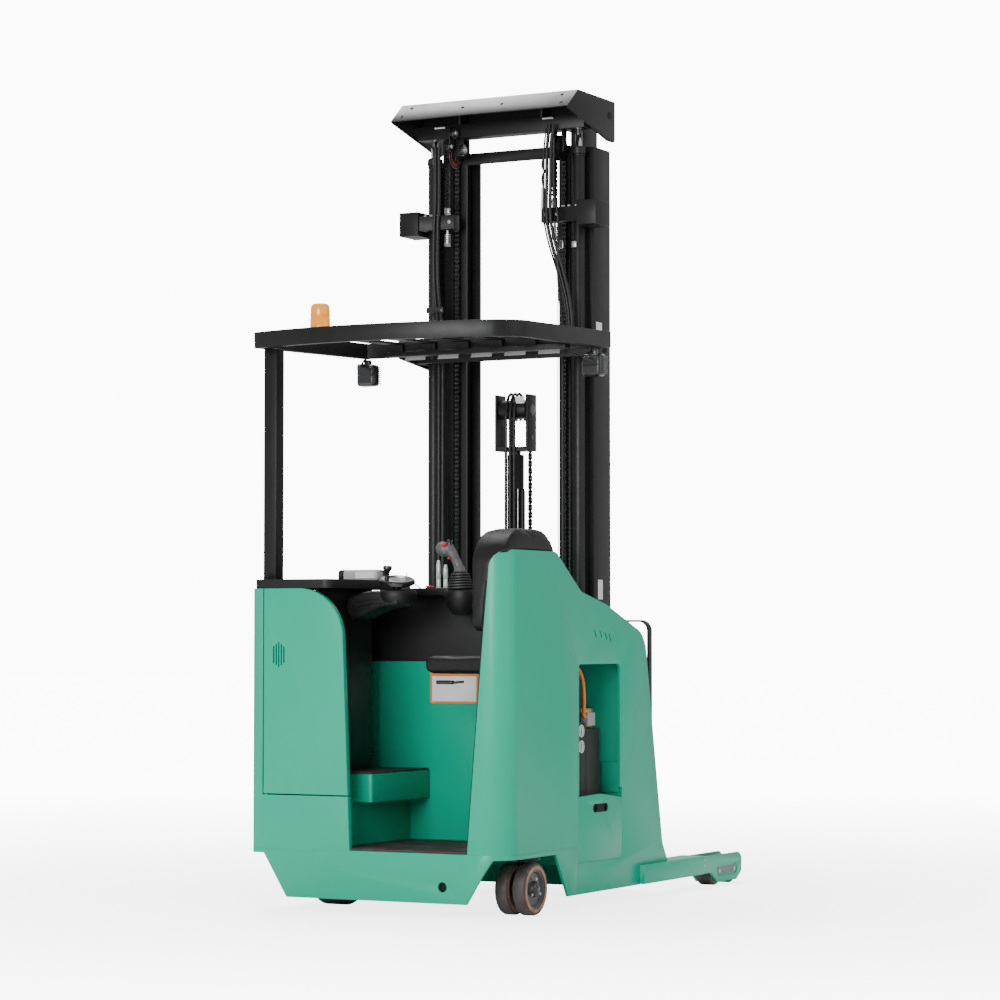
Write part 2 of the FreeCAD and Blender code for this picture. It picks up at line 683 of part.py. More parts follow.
# ---------------------------------------------------------------- compartment
def rear_door():
    """Cover of the left column; it turns on a hidden pin at its left edge."""
    door = prism(left_column(), 0, COLUMN_FLANGE, "xz")
    keep = box(DOOR_SEAM_X + DOOR_GAP, 0, -10, COLUMN_FLANGE + 10, DOOR_SEAM_Z + DOOR_GAP, 2000)
    door = door.common(keep)
    cuts = [rod_z(DOOR_SEAM_Z, DOOR_SEAM_Z + DOOR_PIN_L + 2, DOOR_PIN_X, DOOR_PIN_Y,
                  DOOR_PIN_R + RUN_CLEAR)]
    for i in range(5):
        x = VENT_X + 12.0 * (i - 2)
        half = 50.0 - 8.0 * abs(i - 2)
        cuts.append(box(x - 3, x + 3, -1, COLUMN_FLANGE + 1, VENT_Z - half, VENT_Z + half))
    save("rear_door", door.cut(cuts))


def cabin_lining():
    """Black cladding: motor cover, dash front, the right column's inner face and the seat's ears."""
    left = -BODY_HALF + SKIN + PANEL_GAP
    base = STEP_TOP_Z - STEP_DEPTH + PANEL_GAP
    top = LEFT_TOP_Z - DASH_BAR_DROP
    rear = COLUMN_FLANGE + DOOR_GAP
    cover = box(left, COVER_RIGHT_X, rear, COVER_FRONT_Y, base, LEFT_TOP_Z - PANEL_GAP)
    room = box(left - 1, COVER_RIGHT_X - COVER_T, rear - 1, COVER_FRONT_Y - COVER_T, base - 1,
               LEFT_TOP_Z + 1)
    cover = cover.cut(room)
    face = CABIN_FRONT_Y - KICK_T
    front = box(left, ENTRY_RIGHT_X, face, CABIN_FRONT_Y - PANEL_GAP, KICK_TOP_Z + PANEL_GAP, top)
    alcove = box(left, KICK_LEFT_X - PANEL_GAP, face, CABIN_FRONT_Y - PANEL_GAP,
                 STEP_TOP_Z + MAT_T + 1, KICK_TOP_Z + 1)
    high = LINING_TOP_Z
    side = prism([(lining_x(DECK_Z), DECK_Z, 0), (lining_x(DECK_Z) + LINER_T, DECK_Z, 0),
                  (lining_x(high) + LINER_T, high, 0), (lining_x(high), high, 0)],
                 SKIN, face - PANEL_GAP, "xz")
    front = front.cut(box(lining_x(KICK_TOP_Z) - 1, 900, 0, 2000, 0, 2000))
    save("cabin_lining", join([cover, front, alcove]).fuse(join([side] + seat_ears())))


def kick_panel():
    plate = box(KICK_LEFT_X, lining_x(DECK_Z) - PANEL_GAP, CABIN_FRONT_Y - KICK_T,
                CABIN_FRONT_Y - PANEL_GAP, DECK_Z, KICK_TOP_Z)
    save("kick_panel", plate)


def step_outline(inset):
    right = STEP_RIGHT_X - inset
    front = CABIN_FRONT_Y - KICK_T - PANEL_GAP - inset
    left = -BODY_HALF + SKIN + PANEL_GAP + inset
    return [(right, STEP_REAR_Y + inset, 12), (right, front, 0), (left, front, 0),
            (left, COVER_FRONT_Y + PANEL_GAP + inset, 0),
            (COVER_RIGHT_X + PANEL_GAP + inset, COVER_FRONT_Y + PANEL_GAP + inset, 0),
            (COVER_RIGHT_X + PANEL_GAP + inset, STEP_REAR_Y + inset, 0)]


def step_box():
    outer = prism(step_outline(0), STEP_TOP_Z - STEP_DEPTH, STEP_TOP_Z, "xy")
    hollow = prism(step_outline(COVER_T), STEP_TOP_Z - STEP_DEPTH - 1, STEP_TOP_Z - COVER_T, "xy")
    save("step_box", outer.cut(hollow))


def floor_mats():
    floor = box(STEP_WALL_X + PANEL_GAP, lining_x(DECK_Z) - MAT_INSET, SKIN + 20,
                CABIN_FRONT_Y - KICK_T - MAT_INSET, DECK_Z, DECK_Z + MAT_T)
    step = prism(step_outline(MAT_INSET), STEP_TOP_Z, STEP_TOP_Z + MAT_T, "xy")
    save("floor_mats", Part.makeCompound([floor, step]))


def dash_top():
    """Moulded top of the dash with its cross bar and the display on it."""
    left = -BODY_HALF + 6
    main = prism([(left, 6, 30), (DASH_RIGHT_X, 6, 40), (DASH_RIGHT_X, CABIN_FRONT_Y, 0),
                  (left, CABIN_FRONT_Y, 0)],
                 LEFT_TOP_Z + PANEL_GAP, LEFT_TOP_Z + DASH_T, "xy")
    bar = box(DASH_RIGHT_X - 20, ENTRY_RIGHT_X - 20, CABIN_FRONT_Y - DASH_BAR_W, CABIN_FRONT_Y,
              LEFT_TOP_Z - DASH_BAR_DROP + PANEL_GAP, LEFT_TOP_Z - DASH_BAR_DROP + DASH_BAR_T)
    post = box(-FAR, -BODY_HALF + SKIN + POST_W + 4, POST_Y - 2, POST_Y + POST_W + 2,
               LEFT_TOP_Z - 10, LEFT_TOP_Z + DASH_T + 10)
    z = LEFT_TOP_Z + DASH_T - 1
    case = box(DISPLAY_X - DISPLAY_W / 2, DISPLAY_X + DISPLAY_W / 2, DISPLAY_Y, DISPLAY_Y + DISPLAY_D,
               z, z + DISPLAY_H)
    case = case.makeFillet(8, [e for e in case.Edges if e.Length > DISPLAY_H + 1])
    save("dash_top", join([main, bar, case]).cut(post))


def wheel_axis():
    lean = radians(WHEEL_LEAN)
    return (sin(lean) * 0.6, -sin(lean) * 0.8, cos(lean))


def steering():
    x, y, z = WHEEL_POS
    axis = vec(*wheel_axis())
    centre = vec(x, y, z)
    arm = box(COVER_RIGHT_X - 30, x, y - POD_HALF, y + POD_HALF, LEFT_TOP_Z - POD_H, LEFT_TOP_Z - 4)
    arm = arm.cut(box(-FAR, COVER_RIGHT_X + PANEL_GAP, 0, CABIN_FRONT_Y, 0, FAR))
    nose = rod_z(LEFT_TOP_Z - POD_H, LEFT_TOP_Z - 4, x, y, POD_HALF)
    hub = Part.makeCylinder(26, 40, centre - axis * 42, axis)
    room = Part.makeCylinder(WHEEL_R + 5, 60, centre - axis * 2, axis)
    save("steering_pod", join([arm, nose, hub]).cut(room))
    disc = Part.makeCylinder(WHEEL_R, WHEEL_T, centre - axis * (2 - RUN_CLEAR), axis)
    disc = disc.makeFillet(9, [e for e in disc.Edges if e.Curve.TypeId == "Part::GeomCircle"])
    side = vec(1, 0, 0).cross(axis)
    side.normalize()
    across = axis.cross(side)
    foot = centre + across * (-KNOB_OFFSET) + axis * (WHEEL_T - 6)
    stem = Part.makeCone(KNOB_R * 0.5, KNOB_R, KNOB_H - KNOB_R, foot, axis)
    ball = Part.makeSphere(KNOB_R, foot + axis * (KNOB_H - KNOB_R))
    save("steering_wheel", join([disc, stem, ball]))


def lever():
    """Pod on an arm from the right column, with the bellows and grip of the control lever."""
    low = LEVER_TOP_Z - LEVER_POD_H
    pod = Part.makeCone(LEVER_POD_R * 0.7, LEVER_POD_R, LEVER_POD_H, vec(LEVER_X, LEVER_Y, low),
                        vec(0, 0, 1))
    arm = box(LEVER_X, BODY_HALF, LEVER_Y - 30, LEVER_Y + 30, low, LEVER_TOP_Z - 10)
    bar = box(-FAR, FAR, CABIN_FRONT_Y - DASH_BAR_W - 2, FAR, low - 1, LEVER_TOP_Z + 60)
    save("lever_pod", join([pod, arm]).cut([right_of_lining(), bar]))
    boot = Part.makeCone(BOOT_R - 18, GRIP_R + 6, BOOT_H,
                         vec(LEVER_X, LEVER_Y - 18, LEVER_TOP_Z + PANEL_GAP), vec(0, 0, 1))
    grip = rod_z(LEVER_TOP_Z + BOOT_H - 20, LEVER_TOP_Z + BOOT_H + GRIP_H, LEVER_X, LEVER_Y - 18,
                 GRIP_R)
    grip = turned(grip, (LEVER_X, LEVER_Y - 18, LEVER_TOP_Z + BOOT_H - 20), (0, 1, 0), -GRIP_LEAN)
    save("control_lever", join([boot, grip]))


def lining_x(z):
    """Inner face of the right column's lining at a height."""
    return entry_x(z) - LINER_T - PANEL_GAP


def right_of_lining():
    """Everything to the right of the lining's inner face, with the gap between parts."""
    low = DECK_Z
    return prism([(lining_x(low) - PANEL_GAP, low, 0), (900, low, 0), (900, LINING_TOP_Z + 0.5, 0),
                  (lining_x(LINING_TOP_Z) - PANEL_GAP, LINING_TOP_Z + 0.5, 0)],
                 -10, CABIN_FRONT_Y, "xz")


def seat_pivot():
    """Place of the seat's hinge pin: x, z."""
    z = SEAT_TOP_Z - SEAT_T - SEAT_PIVOT_R - 6
    return lining_x(z) - SEAT_PIVOT_R - 22, z


def seat_ears():
    """Hinge pin and its two ears on the lining."""
    x, z = seat_pivot()
    pin = rod_y(SEAT_REAR_Y + 40, SEAT_REAR_Y + SEAT_D - 40, x, z, SEAT_PIVOT_R)
    ears = []
    for y in (SEAT_REAR_Y + 40, SEAT_REAR_Y + SEAT_D - 52):
        ears.append(box(x - 14, lining_x(z - 20) + 4, y, y + 12, z - 16, z + 12))
    return [pin] + ears


def back_pad():
    """Padded backrest that caps the right column's inner edge."""
    face = [(12, PAD_BOTTOM_Z, 60), (PAD_DEPTH, PAD_BOTTOM_Z, PAD_R), (PAD_DEPTH, PAD_TOP_Z, PAD_R),
            (12, PAD_TOP_Z, PAD_R)]
    pad = prism(face, lining_x(PAD_BOTTOM_Z) - 50, ENTRY_RIGHT_TOP_X + PAD_T, "yz")
    shell = right_shell_block(PANEL_GAP, 0)
    shell.translate(vec(0, 0, PANEL_GAP))
    panel = side_panel(RIGHT_TOP_Z + PANEL_GAP, 440)
    panel.translate(vec(-PANEL_GAP, 0, 0))
    save("back_pad", pad.cut([right_of_lining(), right_shell_block(PANEL_GAP, 0), shell, panel]))


def seat():
    """Perch seat that folds up on a pin along the right column."""
    x, z = seat_pivot()
    top = SEAT_TOP_Z
    right = x - SEAT_PIVOT_R
    pad = box(right - SEAT_W, right, SEAT_REAR_Y, SEAT_REAR_Y + SEAT_D, top - SEAT_T, top)
    pad = pad.makeFillet(20, [e for e in pad.Edges if abs(e.BoundBox.ZLength) < 1])
    save("seat_pad", pad)
    y0 = SEAT_REAR_Y + 60
    y1 = SEAT_REAR_Y + SEAT_D - 60
    plate = box(right - SEAT_W * 0.7, x, y0, y1, top - SEAT_T - 6, top - SEAT_T - PANEL_GAP)
    knuckle = rod_y(y0, y1, x, z, SEAT_PIVOT_R + 6)
    bore = rod_y(y0 - 1, y1 + 1, x, z, SEAT_PIVOT_R + RUN_CLEAR)
    save("seat_bracket", join([plate, knuckle]).cut(bore))


# ---------------------------------------------------------------- overhead guard
def guard_outline(inset):
    """Guard seen from above: bowed rear rim, round right corner, square front."""
    left = GUARD_LEFT_X + inset
    right = GUARD_RIGHT_X - inset
    rear = GUARD_REAR_Y + inset
    crown = GUARD_BACK_Y + inset
    front = GUARD_FRONT_Y - inset
    mid = (left + right) / 2.0
    bend = rear + GUARD_CORNER_R
    bow = Part.Arc(vec(left, rear, 0), vec(mid, crown, 0), vec(right - 90, rear, 0))
    corner = Part.Arc(vec(right - 90, rear, 0), vec(right - 22, rear + 0.42 * GUARD_CORNER_R, 0),
                      vec(right, bend, 0))
    lines = [Part.LineSegment(vec(right, bend, 0), vec(right, front, 0)),
             Part.LineSegment(vec(right, front, 0), vec(left, front, 0)),
             Part.LineSegment(vec(left, front, 0), vec(left, rear, 0))]
    return Part.Face(Part.Wire([s.toShape() for s in [bow, corner] + lines]))


def guard_tilt(shape):
    angle = degrees(atan2(GUARD_RISE, GUARD_FRONT_Y - GUARD_REAR_Y))
    return turned(shape, (0, GUARD_REAR_Y, GUARD_TOP_Z), (1, 0, 0), angle)


def overhead_guard():
    low = GUARD_TOP_Z - GUARD_RIM_H
    rim = guard_outline(0).extrude(vec(0, 0, GUARD_RIM_H))
    hole = guard_outline(GUARD_RIM_T).extrude(vec(0, 0, GUARD_RIM_H + 2))
    hole.translate(vec(0, 0, -1))
    rim = rim.cut(hole)
    rim.translate(vec(0, 0, low))
    top = GUARD_TOP_Z - 6
    bars = []
    span = GUARD_RIGHT_X - GUARD_LEFT_X - 2 * GUARD_RIM_T
    cross_top = top - GUARD_CROSS_DROP + GUARD_CROSS_H
    for i in range(GUARD_BAR_COUNT):
        x = GUARD_LEFT_X + GUARD_RIM_T + span * (i + 1) / (GUARD_BAR_COUNT + 1)
        bars.append(box(x - GUARD_BAR_W / 2, x + GUARD_BAR_W / 2, GUARD_BACK_Y + 10,
                        GUARD_FRONT_Y - 10, top - GUARD_BAR_T, top))
        if abs(x) + GUARD_BAR_W / 2 < GUARD_CROSS_HALF:
            bars.append(box(x - GUARD_BAR_W / 2, x + GUARD_BAR_W / 2, GUARD_CROSS_Y - GUARD_BAR_T,
                            GUARD_CROSS_Y, cross_top - 1, top - 1))
    bars.append(box(-GUARD_CROSS_HALF, GUARD_CROSS_HALF, GUARD_CROSS_Y - 24, GUARD_CROSS_Y,
                    top - GUARD_CROSS_DROP, cross_top))
    bars += both_sides(box(GUARD_CROSS_HALF - 24, GUARD_CROSS_HALF, GUARD_CROSS_Y - 24,
                           GUARD_FRONT_Y - 10, top - GUARD_CROSS_DROP, cross_top))
    x, y = BEACON_POS
    bars.append(box(x - 90, x + BEACON_R + 6, y - BEACON_R - 6, y + BEACON_R + 6, top - GUARD_BAR_T, top))
    shield = guard_outline(GUARD_RIM_T - 2).extrude(vec(0, 0, GUARD_RIM_H))
    shield.translate(vec(0, 0, low))
    bars = [b.common(shield) for b in bars]
    save("overhead_guard", guard_tilt(join([rim] + bars)))


def rear_post():
    """Guard's rear post; its top is cut to the guard's slope."""
    x0 = -BODY_HALF + SKIN + PANEL_GAP
    top = GUARD_TOP_Z
    post = box(x0, x0 + POST_W, POST_Y, POST_Y + POST_W, LEFT_TOP_Z - 20, top)
    hollow = box(x0 + 5, x0 + POST_W - 5, POST_Y + 5, POST_Y + POST_W - 5, LEFT_TOP_Z - 21, top + 1)
    over = box(-FAR, FAR, -FAR, FAR, GUARD_TOP_Z - GUARD_RIM_H - PANEL_GAP, FAR)
    save("rear_post", post.cut([hollow, guard_tilt(over)]))


def guard_brackets():
    """Plates that carry the guard's front rim on the outer mast."""
    rim_low = GUARD_TOP_Z - GUARD_RIM_H
    x0 = OUTER_X + PANEL_GAP
    plate = prism([(GUARD_FRONT_Y + PANEL_GAP, rim_low - 5, 0), (MAST_MID_Y + 40, rim_low - 60, 0),
                   (MAST_MID_Y + 40, rim_low + 80, 0), (GUARD_FRONT_Y + PANEL_GAP, rim_low + 80, 0)],
                  x0, x0 + MAST_ARM_T, "yz")
    save("guard_brackets", Part.makeCompound([guard_tilt(plate), guard_tilt(mirrored(plate))]))


def lights():
    rim_low = GUARD_TOP_Z - GUARD_RIM_H
    lamps = []
    for x, y in (LIGHT_LEFT, LIGHT_RIGHT):
        top = rim_low - 14
        case = box(x - LIGHT_W / 2, x + LIGHT_W / 2, y - LIGHT_D / 2, y + LIGHT_D / 2, top - LIGHT_H, top)
        case = case.makeFillet(14, [e for e in case.Edges if e.BoundBox.YLength > 10])
        edge = x - LIGHT_W / 2 if x < 0 else x + LIGHT_W / 2 - GUARD_RIM_T
        foot = box(edge, edge + GUARD_RIM_T, y - 20, y + 20, top - 20, rim_low - PANEL_GAP)
        lamps.append(guard_tilt(join([case, foot])))
    save("work_lights", Part.makeCompound(lamps))
    x, y = BEACON_POS
    foot = GUARD_TOP_Z - 6 + PANEL_GAP
    lens = rod_z(foot + 14, foot + BEACON_H, x, y, BEACON_R)
    base = rod_z(foot, foot + 14, x, y, BEACON_R - 4)
    save("beacon", guard_tilt(join([base, lens.makeFillet(8, [lens.Edges[0]])])))


# ---------------------------------------------------------------- legs and wheels
def leg(side):
    beam = box(LEG_IN_X, LEG_OUT_X, LEG_REAR_Y, HOUSING_REAR_Y, LEG_BOTTOM_Z, LEG_TOP_Z)
    root = box(LEG_IN_X, BODY_HALF - SKIN - PANEL_GAP, BAY_FRONT_Y + CABIN_WALL, LEG_REAR_Y,
               LEG_BOTTOM_Z, LEG_TOP_Z)
    profile = [(HOUSING_REAR_Y - 1, HOUSING_TOP_Z, 0), (HOUSING_REAR_Y - 1, LEG_BOTTOM_Z + 2, 0),
               (1908, 61, 0), (1975, HOUSING_LOW_Z, 10), (2184, HOUSING_LOW_Z, 10),
               (HOUSING_FRONT_Y, 50, 0), (HOUSING_FRONT_Y, HOUSING_TOP_Z - 20, 0),
               (HOUSING_FRONT_Y - 30, HOUSING_TOP_Z, 0)]
    housing = prism(profile, LEG_IN_X, LEG_OUT_X, "yz")
    room = box(LEG_IN_X + LEG_WALL, LEG_OUT_X - LEG_WALL, HOUSING_REAR_Y + 30,
               HOUSING_FRONT_Y - LEG_WALL, 0, 300)
    y0 = LOAD_WHEEL_REAR_Y - 2 * LOAD_AXLE_R
    y1 = LOAD_WHEEL_REAR_Y + LOAD_WHEEL_PITCH + 2 * LOAD_AXLE_R
    z0 = LOAD_WHEEL_R - 2 * LOAD_AXLE_R + 4
    z1 = LOAD_WHEEL_R + 2 * LOAD_AXLE_R + 2
    round_r = (z1 - z0) / 2.1
    recess = prism([(y0, z0, round_r), (y1, z0, round_r), (y1, z1, round_r), (y0, z1, round_r)],
                   LEG_OUT_X - AXLE_RECESS, LEG_OUT_X + 1, "yz")
    axles = []
    for i in range(2):
        y = LOAD_WHEEL_REAR_Y + i * LOAD_WHEEL_PITCH
        axles.append(rod_x(LEG_IN_X, LEG_OUT_X - 1, y, LOAD_WHEEL_R, LOAD_AXLE_R))
    shape = join([beam, root, housing.cut([room, recess])] + axles)
    return shape if side > 0 else mirrored(shape)


def load_wheel(side, index):
    y = LOAD_WHEEL_REAR_Y + index * LOAD_WHEEL_PITCH
    mid = (LEG_IN_X + LEG_OUT_X) / 2.0
    tyre = rod_x(mid - LOAD_WHEEL_W / 2, mid + LOAD_WHEEL_W / 2, y, LOAD_WHEEL_R, LOAD_WHEEL_R)
    bore = rod_x(mid - LOAD_WHEEL_W, mid + LOAD_WHEEL_W, y, LOAD_WHEEL_R, LOAD_AXLE_R + RUN_CLEAR)
    shape = tyre.cut(bore)
    return shape if side > 0 else mirrored(shape)


def drive_parts():
    """Steered drive wheel with its gear case, and the mounts of drive unit and caster."""
    wheel = rod_x(DRIVE_X - DRIVE_W / 2, DRIVE_X + DRIVE_W / 2, DRIVE_Y, DRIVE_R, DRIVE_R)
    wheel = wheel.makeFillet(12, [e for e in wheel.Edges if e.Curve.TypeId == "Part::GeomCircle"])
    bore = rod_x(DRIVE_X - DRIVE_W, DRIVE_X + DRIVE_W, DRIVE_Y, DRIVE_R, DRIVE_BORE_R + RUN_CLEAR)
    save("drive_wheel", wheel.cut(bore))
    turret = rod_z(DRIVE_TURRET_Z, DRIVE_TURRET_Z + DRIVE_TURRET_T, DRIVE_X, DRIVE_Y, DRIVE_TURRET_R)
    x0 = DRIVE_X + DRIVE_W / 2 + 6
    gear = box(x0, x0 + 44, DRIVE_Y - 75, DRIVE_Y + 75, DRIVE_R - 70, DRIVE_TURRET_Z)
    axle = rod_x(DRIVE_X - DRIVE_W / 2 + 8, x0 + 10, DRIVE_Y, DRIVE_R, DRIVE_BORE_R)
    save("drive_unit", join([turret, gear, axle]))
    seat_z = DRIVE_TURRET_Z + DRIVE_TURRET_T + RUN_CLEAR
    motor = rod_z(seat_z + 16, seat_z + DRIVE_MOTOR_H, DRIVE_X, DRIVE_Y, DRIVE_MOTOR_R)
    reach = DRIVE_TURRET_R
    plate = box(-BODY_HALF + SKIN + PANEL_GAP, COVER_RIGHT_X - COVER_T - PANEL_GAP, DRIVE_Y - reach,
                COVER_FRONT_Y - COVER_T - PANEL_GAP, seat_z, seat_z + 16)
    x0 = ENTRY_RIGHT_X + 4
    x1 = BODY_HALF - SKIN - PANEL_GAP
    seat_plate = box(x0, x1, CASTER_PIVOT_Y - 80, CASTER_PIVOT_Y + 80, CASTER_SEAT_Z, CASTER_SEAT_Z + 14)
    feet = []
    for y in (CASTER_PIVOT_Y - 80, CASTER_PIVOT_Y + 68):
        feet.append(box(x0, x1, y, y + 12, DECK_Z, CASTER_SEAT_Z + 1))
    save("axle_mounts", Part.makeCompound([join([plate, motor]), join([seat_plate] + feet)]))


def caster_parts():
    wheel_y = CASTER_PIVOT_Y - CASTER_TRAIL
    x = CASTER_WHEEL_X
    half = CASTER_SPAN / 2.0
    wheels = []
    for x0 in (x - half, x + half - CASTER_W):
        tyre = rod_x(x0, x0 + CASTER_W, wheel_y, CASTER_R, CASTER_R)
        wheels.append(tyre.makeFillet(5, [e for e in tyre.Edges
                                          if e.Curve.TypeId == "Part::GeomCircle"]))
    axle = rod_x(x - half + 6, x + half - 6, wheel_y, CASTER_R, CASTER_AXLE_R)
    save("caster_wheels", join(wheels + [axle]))
    leg_half = CASTER_SPAN / 2.0 - CASTER_W - 4
    crown = rod_z(CASTER_CROWN_Z, CASTER_CROWN_Z + CASTER_CROWN_T, CASTER_PIVOT_X, CASTER_PIVOT_Y,
                  CASTER_CROWN_R)
    plate = prism([(wheel_y - 22, CASTER_R - 22, 12), (wheel_y + 24, CASTER_R - 22, 12),
                   (CASTER_PIVOT_Y + 40, CASTER_CROWN_Z + 4, 0),
                   (CASTER_PIVOT_Y - 50, CASTER_CROWN_Z + 4, 0)],
                  x - leg_half, x + leg_half, "yz")
    bore = rod_x(x - 50, x + 50, wheel_y, CASTER_R, CASTER_AXLE_R + RUN_CLEAR)
    stem = rod_z(CASTER_CROWN_Z + CASTER_CROWN_T - 1, CASTER_SEAT_Z - RUN_CLEAR, CASTER_PIVOT_X,
                 CASTER_PIVOT_Y, 24)
    save("caster_fork", join([crown, plate.cut(bore), stem]))


# ---------------------------------------------------------------- mast
def stage(index, z0, z1):
    """Pair of channels; stage 0 is the outer one, and each next one nests inside it."""
    out_x = OUTER_X - index * (STAGE_WIDTH + STAGE_CLEAR)
    half = (OUTER_DEPTH - index * DEPTH_STEP) / 2.0
    in_x = out_x - STAGE_WIDTH
    web = box(out_x - WEB_T, out_x, MAST_MID_Y - half, MAST_MID_Y + half, z0, z1)
    rear = box(in_x, out_x, MAST_MID_Y - half, MAST_MID_Y - half + FLANGE_T, z0, z1)
    front = box(in_x, out_x, MAST_MID_Y + half - FLANGE_T, MAST_MID_Y + half, z0, z1)
    return join([web, rear, front])


def stage_face(index):
    return OUTER_X - index * (STAGE_WIDTH + STAGE_CLEAR)


def guide_roller(index, z):
    """Roller of stage `index` that runs inside the channel of the stage outside it."""
    half = (OUTER_DEPTH - (index - 1) * DEPTH_STEP) / 2.0 - FLANGE_T
    x0 = stage_face(index) + STAGE_CLEAR
    wheel = rod_x(x0, x0 + ROLLER_W, MAST_MID_Y, z, half - RUN_CLEAR)
    pin = rod_x(stage_face(index) - 1, x0 + 1, MAST_MID_Y, z, ROLLER_PIN_R)
    return join([wheel, pin])


def outer_mast():
    rail = stage(0, OUTER_BOTTOM_Z, OUTER_TOP_Z)
    rear = MAST_MID_Y - OUTER_DEPTH / 2.0
    tie = box(-OUTER_X, OUTER_X, MAST_TIE_Y, MAST_TIE_Y + MAST_TIE_T, MAST_TIE_Z,
              MAST_TIE_Z + MAST_TIE_H)
    arm_x = OUTER_X - MAST_ARM_T
    arm = box(arm_x, OUTER_X, MAST_TIE_Y, rear + 1, MAST_TIE_Z, MAST_TIE_Z + MAST_TIE_H)
    base = box(-LEG_IN_X, LEG_IN_X, BASE_REAR_Y, BASE_FRONT_Y, OUTER_BOTTOM_Z, OUTER_BOTTOM_Z + BASE_H)
    knee = box(OUTER_X - 1, LEG_IN_X, MAST_MID_Y - 8, MAST_MID_Y + 8, OUTER_BOTTOM_Z, 300)
    stay = box(arm_x, OUTER_X, BAY_FRONT_Y + CABIN_WALL, rear + 1, 900, 1000)
    parts = both_sides(rail) + [base, tie]
    for piece in (knee, stay, arm):
        parts += both_sides(piece)
    save("outer_mast", join(parts))


def lift_cylinders():
    barrels = []
    rods = []
    for shape_side in (1, -1):
        tube = rod_z(CYL_FOOT_Z, CYL_TOP_Z, CYL_X, CYL_Y, CYL_R)
        bore = rod_z(CYL_FOOT_Z + 40, CYL_TOP_Z + 1, CYL_X, CYL_Y, CYL_BORE_R)
        barrel = tube.cut(bore)
        rod = rod_z(ROD_FOOT_Z, HEAD_Z, CYL_X, CYL_Y, ROD_R)
        piston = rod_z(ROD_FOOT_Z, ROD_FOOT_Z + PISTON_H, CYL_X, CYL_Y, CYL_BORE_R - RUN_CLEAR)
        rod = join([rod, piston])
        barrels.append(barrel if shape_side > 0 else mirrored(barrel))
        rods.append(rod if shape_side > 0 else mirrored(rod))
    save("lift_barrels", Part.makeCompound(barrels))
    save("lift_rods", Part.makeCompound(rods))


def middle_mast():
    rails = both_sides(join([stage(1, MIDDLE_BOTTOM_Z, MIDDLE_TOP_Z), guide_roller(1, ROLLER_Z)]))
    head = box(-HEAD_HALF, HEAD_HALF, HEAD_REAR_Y, HEAD_FRONT_Y, HEAD_Z, HEAD_Z + HEAD_H)
    in_x = stage_face(1) - STAGE_WIDTH
    rear = MAST_MID_Y - (OUTER_DEPTH - DEPTH_STEP) / 2.0
    cheek = box(in_x, stage_face(1), HEAD_FRONT_Y - 1, rear + FLANGE_T, HEAD_Z, MIDDLE_TOP_Z)
    tie_y = CYL_Y + CYL_R + STAGE_CLEAR
    low_tie = box(-stage_face(1), stage_face(1), tie_y, tie_y + 14, 150, 240)
    low_lug = box(in_x + 8, stage_face(1), tie_y + 13, rear + 1, 150, 240)
    save("middle_mast", join(rails + [head, low_tie] + both_sides(cheek) + both_sides(low_lug)))


def mast_hood():
    """Crown cover of the middle stage, open in the middle for the inner stage."""
    end = prism([(HOOD_REAR_Y, HOOD_REAR_Z, 0), (HOOD_BREAK_Y, HOOD_TOP_Z, 0),
                 (HOOD_FRONT_Y, HOOD_TOP_Z, 8), (HOOD_FRONT_Y, HOOD_LOW_Z, 18),
                 (HOOD_FRONT_Y - 75, HOOD_LOW_Z, 0), (HOOD_REAR_Y + 8, HOOD_REAR_Z - 8, 0)],
                HOOD_HALF - HOOD_T, HOOD_HALF, "yz")
    top = prism([(HOOD_REAR_Y, HOOD_REAR_Z, 0), (HOOD_BREAK_Y, HOOD_TOP_Z, 0),
                 (HOOD_FRONT_Y, HOOD_TOP_Z, 0), (HOOD_FRONT_Y, HOOD_TOP_Z - HOOD_T, 0),
                 (HOOD_BREAK_Y + 3, HOOD_TOP_Z - HOOD_T, 0), (HOOD_REAR_Y + 6, HOOD_REAR_Z - 2, 0)],
                -HOOD_HALF, HOOD_HALF, "yz")
    way = box(-HOOD_GAP_HALF, HOOD_GAP_HALF, HEAD_FRONT_Y, FAR, HOOD_REAR_Z, FAR)
    stays = []
    for x in (-HOOD_STAY_X, HOOD_STAY_X):
        stays.append(box(x - 5, x + 5, HEAD_REAR_Y, HEAD_FRONT_Y, HEAD_Z + HEAD_H, HOOD_TOP_Z - 2))
    save("mast_hood", join(both_sides(end) + [top.cut(way)] + stays))


